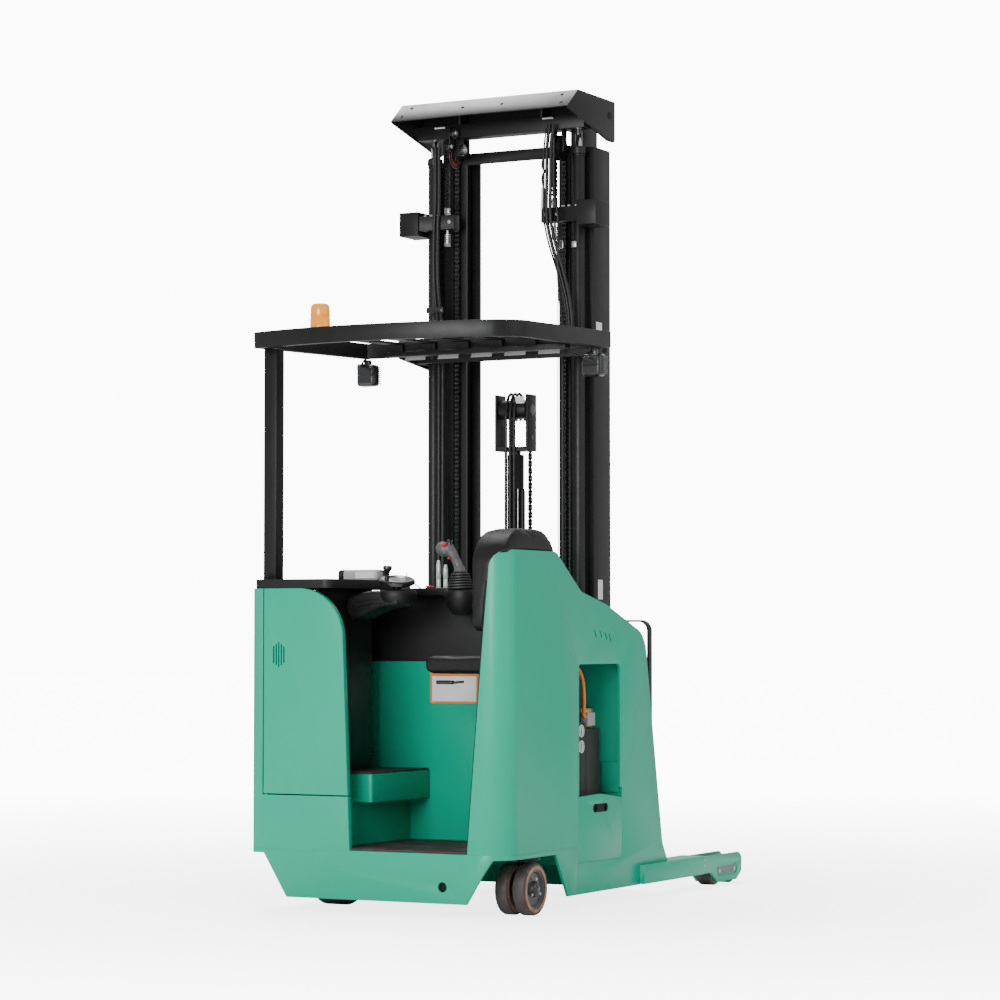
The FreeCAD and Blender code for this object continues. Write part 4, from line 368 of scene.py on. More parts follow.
def mirrored(profile):
    """A profile and its mirror image beyond the middle."""
    return profile + [(-along, radius) for along, radius in profile[::-1]]


class Form:
    """A mesh built up from turned, pushed and boxed shapes, in the truck's frame."""

    def __init__(self):
        self.bm = bmesh.new()

    def box(self, x0, x1, y0, y1, z0, z1, round_to=0.0, segments=2):
        part = bmesh.new()
        bmesh.ops.create_cube(part, size=1.0)
        size = Matrix.Diagonal((x1 - x0, y1 - y0, z1 - z0, 1))
        part.transform(Matrix.Translation(at((x0 + x1) / 2, (y0 + y1) / 2, (z0 + z1) / 2)) @ size)
        if round_to:
            soften(part, part.edges[:], round_to, segments)
        return self._add(part)

    def turned(self, centre, axis, profile, sides, closed=False):
        """Profile of (distance along the axis, radius) turned about the axis.

        A closed profile runs back to its start; an open one is capped at both ends."""
        part = bmesh.new()
        loops = [loop(part, along, radius, sides) for along, radius in profile]
        for a, b in zip(loops, loops[1:] + loops[:1] if closed else loops[1:]):
            bridge(part, a, b, sides)
        if not closed:
            for end in (loops[0], loops[-1]):
                if len(end) > 2:
                    part.faces.new(end)
        bmesh.ops.recalc_face_normals(part, faces=part.faces)
        turn = Vector((0, 0, 1)).rotation_difference(Vector(axis)).to_matrix().to_4x4()
        part.transform(Matrix.Translation(centre) @ turn)
        return self._add(part)

    def ring(self, centre, axis, profile, sides):
        return self.turned(centre, axis, profile, sides, True)

    def band(self, centre, axis, span, inner, outer, sides):
        """Ring of rectangular section; span is its start and end along the axis."""
        start, end = span
        return self.ring(centre, axis,
                         [(start, inner), (start, outer), (end, outer), (end, inner)], sides)

    def prism(self, points, push, round_to=0.0, segments=2):
        """Polygon through points pushed along a vector."""
        part = bmesh.new()
        low = [part.verts.new(p) for p in points]
        high = [part.verts.new(Vector(p) + Vector(push)) for p in points]
        part.faces.new(low)
        part.faces.new(high)
        bridge(part, low, high, len(low))
        bmesh.ops.recalc_face_normals(part, faces=part.faces)
        if round_to:
            soften(part, part.edges[:], round_to, segments)
        return self._add(part)

    def tube(self, points, radius, sides):
        """Round tube along a smoothed line through points."""
        line = smooth_line(points)
        part = bmesh.new()
        before = None
        normal = (line[1] - line[0]).normalized().orthogonal().normalized()
        for i, p in enumerate(line):
            ahead = (line[min(i + 1, len(line) - 1)] - line[max(i - 1, 0)]).normalized()
            normal = (normal - ahead * normal.dot(ahead)).normalized()
            side = ahead.cross(normal)
            verts = [part.verts.new(p + (normal * math.cos(t) + side * math.sin(t)) * radius)
                     for t in (FULL_TURN * k / sides for k in range(sides))]
            if before:
                bridge(part, before, verts, sides)
            else:
                part.faces.new(verts)
            before = verts
        part.faces.new(before)
        bmesh.ops.recalc_face_normals(part, faces=part.faces)
        return self._add(part)

    def _add(self, part):
        spare = bpy.data.meshes.new("spare")
        part.to_mesh(spare)
        part.free()
        self.bm.from_mesh(spare)
        bpy.data.meshes.remove(spare)
        return self

    def mesh(self, name):
        """The form as a mesh; the form is used up."""
        mesh = bpy.data.meshes.new(name)
        self.bm.to_mesh(mesh)
        self.bm.free()
        return mesh

    def done(self, name, body, material, slot, angle=35.0, replaces=()):
        """Turns the form into a finished piece that rides on a body."""
        return settle(name, self.mesh(name), body, material, angle, replaces)


def smooth_line(points):
    """Catmull-Rom line through the points."""
    pts = [Vector(p) for p in points]
    if len(pts) < 3:
        return pts
    ends = [pts[0] * 2 - pts[1]] + pts + [pts[-1] * 2 - pts[-2]]
    line = []
    for i in range(1, len(ends) - 2):
        a, b, c, d = ends[i - 1:i + 3]
        for k in range(LINE_STEPS):
            t = k / LINE_STEPS
            line.append(0.5 * ((2 * b) + (c - a) * t + (2 * a - 5 * b + 4 * c - d) * t * t
                               + (3 * b - a - 3 * c + d) * t * t * t))
    line.append(pts[-1])
    return line


def linked(name, data):
    """A new object in the scene."""
    thing = bpy.data.objects.new(name, data)
    bpy.context.scene.collection.objects.link(thing)
    return thing


def evaluated(thing):
    """The object's mesh with its modifiers applied."""
    return bpy.data.meshes.new_from_object(
        thing.evaluated_get(bpy.context.evaluated_depsgraph_get()))


def settle(name, mesh, body, material, angle=35.0, replaces=()):
    """Object for a finished mesh: smooth shading, material and body."""
    for face in mesh.polygons:
        face.use_smooth = True
    mesh.set_sharp_from_angle(angle=math.radians(angle))
    piece = linked(name, mesh)
    mesh.materials.clear()
    mesh.materials.append(material)
    if body:
        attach(piece, body)
    if replaces:
        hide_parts(*replaces)
    return piece


def rounded(node, material, width, segments=2):
    """A node's shape with softened plate edges, standing in for the node."""
    source = NODES[node]
    bm = bmesh.new()
    bm.from_mesh(source.data)
    bmesh.ops.remove_doubles(bm, verts=bm.verts, dist=2e-6)
    bmesh.ops.dissolve_limit(bm, angle_limit=math.radians(0.4), verts=bm.verts, edges=bm.edges)
    soften(bm, [e for e in bm.edges if len(e.link_faces) == 2
                and e.calc_face_angle(0) > math.radians(28.0)], width, segments)
    mesh = bpy.data.meshes.new(node + "_dressed")
    bm.to_mesh(mesh)
    bm.free()
    return settle(mesh.name, mesh, source["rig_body"], material, 32.0, (node,))


# ---------------------------------------------------------------- node trees
def tree_with(name, inputs):
    """New node tree with a Geometry input and output and the named inputs."""
    tree = bpy.data.node_groups.new(name, "GeometryNodeTree")
    face = tree.interface
    face.new_socket("Geometry", in_out="INPUT", socket_type="NodeSocketGeometry")
    for label, kind in inputs:
        face.new_socket(label, in_out="INPUT", socket_type=kind)
    face.new_socket("Geometry", in_out="OUTPUT", socket_type="NodeSocketGeometry")
    return tree, tree.nodes.new("NodeGroupInput"), tree.nodes.new("NodeGroupOutput")


def finish_tree(tree, start, end, geometry):
    """Realizes what the tree made, sets its material and sends it out."""
    real = tree.nodes.new("GeometryNodeRealizeInstances")
    paint = tree.nodes.new("GeometryNodeSetMaterial")
    tree.links.new(geometry, real.inputs[0])
    tree.links.new(real.outputs[0], paint.inputs["Geometry"])
    tree.links.new(start.outputs["Material"], paint.inputs["Material"])
    tree.links.new(paint.outputs[0], end.inputs[0])
    return tree


def times(tree, socket, factor):
    """Output that holds a socket's value times a factor."""
    node = tree.nodes.new("ShaderNodeMath")
    node.operation = "MULTIPLY"
    node.inputs[1].default_value = factor
    tree.links.new(socket, node.inputs[0])
    return node.outputs[0]


def row_tree():
    """Copies of the piece set in a row."""
    known = bpy.data.node_groups.get("Row of copies")
    if known:
        return known
    tree, start, end = tree_with("Row of copies", [("Count", "NodeSocketInt"),
                                                   ("Step", "NodeSocketVector"),
                                                   ("Material", "NodeSocketMaterial")])
    line = tree.nodes.new("GeometryNodeMeshLine")
    line.mode = "OFFSET"
    copies = tree.nodes.new("GeometryNodeInstanceOnPoints")
    for source, target in ((start.outputs["Count"], line.inputs["Count"]),
                           (start.outputs["Step"], line.inputs["Offset"]),
                           (line.outputs["Mesh"], copies.inputs["Points"]),
                           (start.outputs["Geometry"], copies.inputs["Instance"])):
        tree.links.new(source, target)
    return finish_tree(tree, start, end, copies.outputs["Instances"])


def bolt_tree():
    """Bolt heads with a washer on every vertex, along its facing attribute."""
    known = bpy.data.node_groups.get("Bolt heads")
    if known:
        return known
    tree, start, end = tree_with("Bolt heads", [("Radius", "NodeSocketFloat"),
                                                ("Height", "NodeSocketFloat"),
                                                ("Material", "NodeSocketMaterial")])
    radius, height = start.outputs["Radius"], start.outputs["Height"]
    lift = tree.nodes.new("ShaderNodeCombineXYZ")
    head = tree.nodes.new("GeometryNodeMeshCylinder")
    put(head, {"Vertices": 6})
    raised = tree.nodes.new("GeometryNodeTransform")
    washer = tree.nodes.new("GeometryNodeMeshCylinder")
    put(washer, {"Vertices": 20})
    both = tree.nodes.new("GeometryNodeJoinGeometry")
    facing = tree.nodes.new("GeometryNodeInputNamedAttribute")
    facing.data_type = "FLOAT_VECTOR"
    put(facing, {"Name": "facing"})
    turn = tree.nodes.new("FunctionNodeAlignRotationToVector")
    copies = tree.nodes.new("GeometryNodeInstanceOnPoints")
    for source, target in ((times(tree, height, 0.5), lift.inputs["Z"]),
                           (radius, head.inputs["Radius"]),
                           (height, head.inputs["Depth"]),
                           (head.outputs["Mesh"], raised.inputs["Geometry"]),
                           (lift.outputs[0], raised.inputs["Translation"]),
                           (times(tree, radius, 1.45), washer.inputs["Radius"]),
                           (times(tree, height, 0.4), washer.inputs["Depth"]),
                           (raised.outputs[0], both.inputs[0]),
                           (washer.outputs["Mesh"], both.inputs[0]),
                           (facing.outputs[0], turn.inputs["Vector"]),
                           (start.outputs["Geometry"], copies.inputs["Points"]),
                           (both.outputs[0], copies.inputs["Instance"]),
                           (turn.outputs[0], copies.inputs["Rotation"])):
        tree.links.new(source, target)
    return finish_tree(tree, start, end, copies.outputs["Instances"])


def bolt_points(name, places):
    """Bare vertices with a facing vector each, for the bolt tree."""
    mesh = bpy.data.meshes.new(name)
    mesh.from_pydata([tuple(p) for p, _ in places], [], [])
    facing = mesh.attributes.new("facing", "FLOAT_VECTOR", "POINT")
    facing.data.foreach_set("vector", [c for _, n in places for c in n])
    return mesh


def grown(name, mesh, tree, values, body, material, angle=35.0):
    """Runs a node tree on a mesh once and keeps the plain result as a piece."""
    seed = linked(name + "_seed", mesh)
    modifier = seed.modifiers.new("Tree", "NODES")
    modifier.node_group = tree
    values = {**values, "Material": material}
    for item in tree.interface.items_tree:
        if item.item_type == "SOCKET" and item.in_out == "INPUT" and item.name in values:
            modifier[item.identifier] = values[item.name]
    seed.update_tag()
    bpy.context.view_layer.update()
    plain_mesh = evaluated(seed)
    bpy.data.objects.remove(seed)
    plain_mesh.name = name
    return settle(name, plain_mesh, body, material, angle)


def bolts(name, places, radius, height, body, material):
    places = [(at(*p), Vector(n)) for p, n in places]
    return grown(name, bolt_points(name, places), bolt_tree(),
                 {"Radius": radius, "Height": height}, body, material)


def chain_strand(name, x, y, z0, z1, width, depth, pitch):
    """Leaf chain: plate pairs that alternate with single plates on crossing pins."""
    form = Form()
    plates = 5
    leaf = width / plates
    for k in range(plates):
        shift = pitch if k % 2 else 0.0
        x0 = x - width / 2 + leaf * k + leaf * 0.08
        outline = []
        for end, sign in ((0.0, -1), (pitch, 1)):
            for t in range(5):
                a = math.pi * (t / 4.0) + (math.pi if sign < 0 else 0.0)
                outline.append(at(x0, y + math.cos(a) * depth / 2,
                                  z0 + shift + end + math.sin(a) * depth * 0.46))
        outline.insert(5, at(x0, y + depth * 0.31, z0 + shift + pitch / 2))
        outline.append(at(x0, y - depth * 0.31, z0 + shift + pitch / 2))
        form.prism(outline, (leaf * 0.84, 0, 0))
    for k in range(2):
        form.turned(at(x - width / 2 - 0.0016, y, z0 + pitch * k), (1, 0, 0),
                    [(0, depth * 0.22), (width + 0.0032, depth * 0.22)], 10)
    count = max(1, int((z1 - z0) / (2 * pitch)))
    piece = grown(name, form.mesh(name), row_tree(), {"Count": count, "Step": (0, 0, 2 * pitch)},
                  None, oiled_steel(), 40)
    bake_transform(piece)
    return piece


def stretched(name, points, radius, material, sides=12):
    """Hose between two bodies that move apart along the mast."""
    mesh = Form().tube([at(*p) for p in points], radius, sides).mesh(name)
    piece = settle(name, mesh, None, material)
    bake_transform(piece)
    return piece


def node_face(node, corner, axis):
    """One coordinate of a node's box, in the truck's frame."""
    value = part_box(node)[corner][axis]
    return value - BACK if axis == 1 else value


def cushion(node, material, swell, limit, crest=0.0):
    """Foam piece: the node's shape blown up a little by cloth under pressure."""
    source = NODES[node]
    piece = linked(node + "_foam", source.data.copy())
    mesher = piece.modifiers.new("Voxels", "REMESH")
    mesher.mode = "VOXEL"
    mesher.voxel_size = FOAM_VOXEL
    ease = piece.modifiers.new("Ease", "SMOOTH")
    ease.factor = 0.5
    ease.iterations = 12
    bpy.context.view_layer.update()
    first = evaluated(piece)
    piece.modifiers.clear()
    piece.data = first
    low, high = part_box(node)
    middle, half = (low.y + high.y) / 2, (high.y - low.y) / 2
    for vert in first.vertices:
        rise = max(0.0, (vert.co.z - low.z) / (high.z - low.z) - 0.45) / 0.55
        vert.co.z -= crest * rise * ((vert.co.y - middle) / half) ** 2
    rest = [v.co.copy() for v in first.vertices]
    cloth = piece.modifiers.new("Cloth", "CLOTH")
    cloth.settings.use_pressure = True
    cloth.settings.uniform_pressure_force = swell
    cloth.settings.effector_weights.gravity = 0.0
    cloth.settings.quality = 5
    scene = bpy.context.scene
    for step in range(CLOTH_FRAMES):
        scene.frame_set(step + 1)
    blown = evaluated(piece)
    piece.modifiers.clear()
    scene.frame_set(1)
    for vert, before in zip(blown.vertices, rest):
        push = vert.co - before
        if push.length > limit:
            vert.co = before + push.normalized() * limit
    piece.data = blown
    mesh = piece.data
    bpy.data.objects.remove(piece)
    soft = settle(node + "_dressed", mesh, source["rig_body"], material, 60.0, (node,))
    return soft


class TruckPiece:
    """Shared part of the operators that build the truck."""

    bl_options = {"REGISTER", "UNDO"}

    def execute(self, context):
        self.build()
        return {"FINISHED"}


# ---------------------------------------------------------------- body
class TRUCK_OT_finishes(TruckPiece, bpy.types.Operator):
    """Gives every node of the frame its finish"""

    bl_idname = "truck.finishes"
    bl_label = "Finishes"

    def build(self):
        looks = {"cable_orange": orange_cable, "plug_grey": plug_grey, "green_paint": enamel,
            "black_paint": powder, "black_cast": forged, "black_plastic": plastic,
            "mat_rubber": mat_rubber, "pad_leather": leatherette, "tyre_pu": polyurethane,
            "chrome_rod": chrome, "chain_steel": oiled_steel, "amber_lens": amber,
            "lamp_black": gloss_black, "hose_rubber": hose_rubber}
        for part in frame["record"]["subparts"]:
            for slot in NODES[part["node"]].material_slots:
                slot.material = looks[part["material_slot"]]()


class TRUCK_OT_body_panels(TruckPiece, bpy.types.Operator):
    """Enamelled panels and covers with softened edges"""

    bl_idname = "truck.body_panels"
    bl_label = "Body panels"

    def build(self):
        for node, width in (("chassis_frame", 0.003), ("left_side_shell", 0.005),
                            ("right_side_shell", 0.005), ("rear_door", 0.002),
                            ("battery_panel", 0.003), ("kick_panel", 0.003),
                            ("step_box", 0.006), ("hood_top", 0.002), ("bulkhead", 0.001),
                            ("leg_left", 0.003), ("leg_right", 0.003)):
            rounded(node, enamel(), width)
        for node, width in (("cabin_lining", 0.003), ("dash_top", 0.006)):
            rounded(node, plastic(), width, 3)
        rounded("rear_post", powder(), 0.004)


class TRUCK_OT_body_fittings(TruckPiece, bpy.types.Operator):
    """Screws, lock plates, leg pins, mat trims, floor mats, the label plate and the tow recess in
    painted shade
    """

    bl_idname = "truck.body_fittings"
    bl_label = "Body fittings"

    def build(self):
        form = Form()
        # Painted shade: a near-black disc stands in for the shade inside the tow recess
        form.turned(at(0.305, 0.02, 0.122), (0, 1, 0), disc(0.028, 0.002), 32)
        form.done("tow_recess_shade", "chassis", painted_hole_shade(), "black_paint")
        wall = node_face("kick_panel", 0, 1)
        form = Form().box(-0.113, 0.114, wall - 0.0016, wall - 0.0001, 0.826, 0.958, 0.0005, 1)
        form.done("label_border", "chassis", plain("Orange border", (0.85, 0.2, 0.03), 0.45),
            "cable_orange")
        form = Form().box(-0.104, 0.105, wall - 0.0026, wall - 0.0015, 0.834, 0.938, 0.0004, 1)
        form.done("label_face", "chassis", pale(), "plug_grey")
        screws = [((-0.395, wall - 0.0002, z), (0, -1, 0)) for z in (0.955, 0.62)]
        bolts("kick_screws", screws, 0.006, 0.004, "chassis", zinc())
        for label, side in SIDES:
            face = 0.6055 * side
            form = Form()
            outline = [at(face - 0.003 * side, y, z) for y, z in
                       ((1.985, 0.05), (2.02, 0.05), (2.034, 0.062), (2.05, 0.05),
                        (2.106, 0.05), (2.122, 0.062), (2.136, 0.05), (2.172, 0.05),
                        (2.172, 0.08), (1.985, 0.08))]
            form.prism(outline, (0.0026 * side, 0, 0), 0.0006, 1)
            form.done("lock_plate_" + label, "chassis", gloss_black(), "black_paint")
            places = [((face - 0.0008 * side, y, 0.0635), (side, 0, 0)) for y in (1.997, 2.16)]
            bolts("lock_bolts_" + label, places, 0.006, 0.004, "chassis", zinc())
            form = Form()
            for z in (0.122, 0.096):
                form.turned(at(face - 0.004 * side, 1.838, z), (side, 0, 0),
                            mm((0, 4.5), (4.5, 4.5), (5.5, 3)), 14)
            form.done("leg_pins_" + label, "chassis", zinc(), "chrome_rod")
        form = Form()
        for x0, x1, y in ((-0.112, 0.405, 0.004), (-0.204, -0.12, 0.1755)):
            z = 0.2565 if y < 0.1 else 0.5535
            form.box(x0, x1, y, y + 0.0025, z, z + 0.003, 0.0008, 1)
        form.done("mat_edges", "chassis", plain("Dark red trim", (0.14, 0.01, 0.018), 0.6),
            "mat_rubber")
        rounded("floor_mats", mat_rubber(), 0.002)


class TRUCK_OT_cushions(TruckPiece, bpy.types.Operator):
    """Backrest pad and perch seat"""

    bl_idname = "truck.cushions"
    bl_label = "Cushions"

    def build(self):
        cushion("back_pad", leatherette(), 3.0, 0.004, 0.018)
        cushion("seat_pad", leatherette(), 3.0, 0.005)
        rounded("seat_bracket", powder(), 0.002)
        form = Form().box(0.168, 0.245, 0.19, 0.215, 0.912, 0.928, 0.006, 3)
        form.turned(at(0.24, 0.2025, 0.918), (1, 0, 0.1), [(0, 0.005), (0.05, 0.005)], 12)
        form.done("seat_lever", "perch_seat", gloss_black(), "black_plastic")


class TRUCK_OT_controls(TruckPiece, bpy.types.Operator):
    """Steering pod and wheel, control lever, display and buttons"""

    bl_idname = "truck.controls"
    bl_label = "Controls"

    def build(self):
        form = Form()
        outline = [at(x, 0.23, z) for x, z in
                   ((-0.274, 1.264), (-0.274, 1.2), (-0.252, 1.168), (-0.205, 1.18),
                    (-0.156, 1.203), (-0.125, 1.214), (-0.095, 1.222), (-0.03, 1.228),
                    (-0.03, 1.288), (-0.15, 1.29), (-0.203, 1.284), (-0.24, 1.274))]
        form.prism(outline, (0, 0.14, 0), 0.014, 3)
        form.turned(at(*STEERING, 1.226), (0, 0, 1), mm((0, 50), (4, 62), (16, 72), (34, 79),
            (54, 80), (63, 76), (67, 66), (67, 0)), 64)
        form.done("steering_pod_dressed", "chassis", plastic(), "black_plastic", 40,
                  ("steering_pod",))
        form = Form()
        for rise in (0.0, 0.018):
            form.prism([at(x, 0.2285, z - rise) for x, z in
                        ((-0.27, 1.226), (-0.27, 1.219), (-0.215, 1.24), (-0.15, 1.252),
                         (-0.072, 1.256), (-0.072, 1.261), (-0.15, 1.258), (-0.215, 1.247))],
                       (0, 0.01, 0), 0.001, 1)
        form.done("pod_grooves", "chassis", gloss_black(), "black_plastic")
        lean = math.radians(14.0)
        axis = Vector((math.sin(lean) * 0.6, -math.sin(lean) * 0.8, math.cos(lean)))
        centre = at(*STEERING, 1.318)
        form = Form()
        form.turned(centre, axis, mm((-19, 0), (-19, 20), (-1, 20), (-1, 66), (3, 72), (10, 73.5),
            (17, 72), (21.5, 66), (20.5, 52), (17, 44), (17, 22), (19, 10), (19.5, 0)), 64)
        side = Vector((1, 0, 0)).cross(axis).normalized()
        foot = centre - axis.cross(side) * 0.048 + axis * 0.018
        form.turned(foot, axis, mm((0, 9), (12, 8.5), (26, 11.5), (38, 18.5), (44, 19.5), (49, 17),
            (51, 9), (51.5, 0)), 32)
        form.done("steering_wheel_dressed", "steering_wheel", gloss_black(), "black_plastic", 40,
                  ("steering_wheel",))
        form = Form().box(-0.441, -0.249, 0.4385, 0.5015, 1.334, 1.3815, 0.014, 4)
        form.done("display_shell", "chassis", plain("Light cover", (0.42, 0.43, 0.44), 0.35),
                  "plug_grey")
        form = Form().box(-0.4415, -0.398, 0.438, 0.502, 1.3335, 1.382, 0.014, 4)
        form.done("display_end", "chassis", gloss_black(), "black_plastic")
        form = Form().box(-0.352, -0.262, 0.437, 0.439, 1.345, 1.372, 0.0008, 1)
        form.done("display_face", "chassis", pale(), "plug_grey")
        self.lever()
        form = Form()
        form.turned(at(*STOP_SWITCH, 1.2975), (0, 0, 1), mm((0, 24), (6, 24), (8, 20)), 32)
        form.done("stop_collar", "chassis", gloss_black(), "black_plastic")
        form = Form()
        form.turned(at(*STOP_SWITCH, 1.305), (0, 0, 1), mm((0, 14), (4, 19), (9, 18), (12, 0)), 32)
        form.done("stop_button", "chassis", signal_red(), "cable_orange")
        form = Form()
        form.turned(at(-0.192, 0.58, 1.352), (0.62, 0, -0.42), [(0, 0.0025), (0.13, 0.0025)], 12)
        form.turned(at(-0.19, 0.585, 1.3), (0, 0, 1), mm((0, 3), (68, 2), (70, 0)), 12)
        form.done("dash_rod", "chassis", gloss_black(), "black_plastic")

    def lever(self):
        x, y = LEVER
        form = Form()
        form.turned(at(x, 0.512, 1.188), (0, 0, 1), mm((0, 0), (2, 26), (12, 44), (36, 62),
            (68, 72), (94, 73.5), (104, 70), (108, 63)), 64)
        arm = [at(px, 0.486, pz) for px, pz in
               ((0.12, 1.288), (0.12, 1.205), (0.165, 1.214), (0.2, 1.232), (0.4, 1.232),
                (0.4, 1.288))]
        form.prism(arm, (0, 0.062, 0), 0.01, 3)
        form.done("lever_pod_dressed", "chassis", plastic(), "black_plastic", 40, ("lever_pod",))
        ribs = sizes().ribs
        profile = [(0.0, 0.052)]
        for i in range(ribs):
            step = 0.066 / ribs
            low = 0.002 + i * step
            out = 0.0555 - 0.02 * i / ribs
            profile += [(low, out - 0.01), (low + step * 0.18, out - 0.001),
                        (low + step * 0.45, out), (low + step * 0.72, out - 0.001),
                        (low + step * 0.95, out - 0.011)]
        profile += [(0.07, 0.03), (0.074, 0.026), (0.076, 0.0)]
        form = Form()
        form.turned(at(x, y, 1.2965), (-0.04, 0, 1), profile, 64)
        form.done("lever_bellows", "chassis", plain("Bellows rubber", (0.03, 0.03, 0.031), 0.5),
            "black_plastic", 40, ("control_lever",))
        form = Form()
        stem = [at(x - 0.002, y, 1.366), at(x - 0.01, y, 1.392), at(x - 0.022, y - 0.003, 1.42),
                at(x - 0.04, y - 0.006, 1.45), at(x - 0.056, y - 0.006, 1.466)]
        radii = (0.025, 0.0195, 0.018, 0.022, 0.026)
        for i in range(4):
            way = stem[i + 1] - stem[i]
            form.turned(stem[i], way, [(-0.005, radii[i] * 0.75), (0, radii[i]),
                                       (way.length, radii[i + 1]),
                                       (way.length + 0.006, radii[i + 1] * 0.75)], 32)
        head = at(x - 0.072, y - 0.006, 1.462)
        form.turned(head, (-0.62, 0, 0.3), mm((-34, 0), (-30, 16), (-16, 27), (4, 31), (22, 27),
            (34, 16), (38, 0)), 40)
        form.done("lever_grip", "chassis", plain("Grip grey", (0.1, 0.1, 0.105), 0.4),
                  "black_plastic", 45)
        form = Form()
        form.turned(at(x - 0.062, y - 0.026, 1.478), (-0.2, -0.75, 0.5),
            mm((0, 10), (8, 10), (11, 0)), 20)
        form.turned(at(x - 0.04, y - 0.024, 1.424), (-0.4, -0.9, 0.1), mm((0, 5), (6, 5), (8, 0)),
            16)
        form.done("grip_buttons", "chassis", signal_red(), "cable_orange")
        form = Form()
        form.turned(at(x - 0.046, y - 0.012, 1.48), (0.1, 0, 1),
            mm((0, 11), (12, 10), (18, 12), (21, 9), (22, 0)), 20)
        form.done("grip_switch", "chassis", gloss_black(), "black_plastic")
        bolts("pod_screw", [((0.196, 0.4855, 1.262), (0, -1, 0))], 0.008, 0.005, "chassis", zinc())


# ---------------------------------------------------------------- guard
class TRUCK_OT_guard(TruckPiece, bpy.types.Operator):
    """Overhead guard with its lamps, beacon and brackets"""

    bl_idname = "truck.guard"
    bl_label = "Overhead guard"

    def build(self):
        rounded("guard_brackets", powder(), 0.003)
        rounded("overhead_guard", powder(), 0.003)
        low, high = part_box("beacon")
        x, y = (low.x + high.x) / 2, (low.y + high.y) / 2
        z = low.z
        foot = Vector((x, y, z))
        form = Form()
        form.turned(foot, (0, 0, 1), mm((16, 38), (18, 41.5), (66, 41), (70, 38.5), (74, 40.5),
            (110, 39), (121, 36), (127, 28), (129.5, 16), (130, 0)), 48)
        form.done("beacon_lens", "chassis", amber(), "amber_lens", 40, ("beacon",))
        form = Form()
        form.turned(foot, (0, 0, 1), mm((1, 38), (4, 41.8), (16, 41.8), (20, 39)), 48)
        form.done("beacon_base", "chassis", gloss_black(), "lamp_black")
        form = Form()
        way = ((0.036, 0.01, 0.008), (0.055, 0.005, 0.03), (0.078, 0, 0.022), (0.07, -0.02, 0.004),
               (0.1, -0.02, 0.012), (0.118, -0.01, 0.026), (0.126, 0, 0.004), (0.128, 0, -0.02))
        form.tube([Vector((x - a, y + b, z + c)) for a, b, c in way], 0.0035, 10)
        form.done("beacon_cable", "chassis", hose_rubber(), "hose_rubber")
        self.lamps()
        span = 1.187 - 0.06
        form = Form()
        for i in range(7):
            x0 = -0.551 + span * i / 7 + (0.034 if i else 0.06)
            x1 = -0.551 + span * (i + 1) / 7 - (0.034 if i < 6 else 0.06)
            if x0 < -0.43 or x1 > 0.44:
                continue
            points = [at(x0 - 0.004, 0.862, 2.288), at(x1 + 0.004, 0.862, 2.288),
                      at(x1, 0.88, 2.338), at(x0, 0.88, 2.338)]
            form.prism(points, (0, 0.003, 0), 0.0008, 1)
        form.done("guard_front_plates", "chassis",
                  plain("Grey zinc primer", (0.34, 0.34, 0.34), 0.45), "chrome_rod")
        places = [((sx * 0.415, y, z), (sx, 0, 0)) for sx in (-1, 1)
                  for y, z in ((1.19, 2.3), (1.25, 2.29), (1.19, 2.34), (1.25, 2.33))]
        bolts("bracket_bolts", places, 0.009, 0.007, "chassis", hub_enamel())

    def lamps(self):
        for name, x in (("left", -0.53), ("right", 0.556)):
            form = Form()
            z0, z1 = 2.177, 2.277
            form.box(x - 0.044, x + 0.044, 0.813, 0.871, z0 + 0.004, z1 - 0.002, 0.014, 3)
            for i in range(9):
                z = z0 + 0.016 + i * 0.0085
                form.box(x - 0.0445, x + 0.0465, 0.836, 0.88, z, z + 0.0035, 0.001, 1)
            form.box(x - 0.014, x + 0.014, 0.828, 0.852, z1 - 0.006, z1 + 0.018, 0.003, 2)
            form.done("lamp_case_" + name, "chassis", gloss_black(), "lamp_black", 40,
                      ("work_lights",) if name == "left" else ())
            form = Form()
            form.box(x - 0.036, x + 0.036, 0.8095, 0.815, z0 + 0.014, z1 - 0.014, 0.008, 3)
            form.done("lamp_glass_" + name, "chassis", smoke_glass(), "lamp_black")
            form = Form()
            form.turned(at(x - 0.01, 0.84, z1 - 0.012), (-1, 0, 0),
                mm((0, 0), (0, 16), (36, 16), (38, 13), (38, 0)), 24)
            form.tube([at(x - 0.03, 0.835, z1 - 0.01), at(x - 0.012, 0.82, z1 + 0.01),
                       at(x - 0.002, 0.83, z1 + 0.022)], 0.004, 10)
            form.done("lamp_neck_" + name, "chassis", hose_rubber(), "hose_rubber")


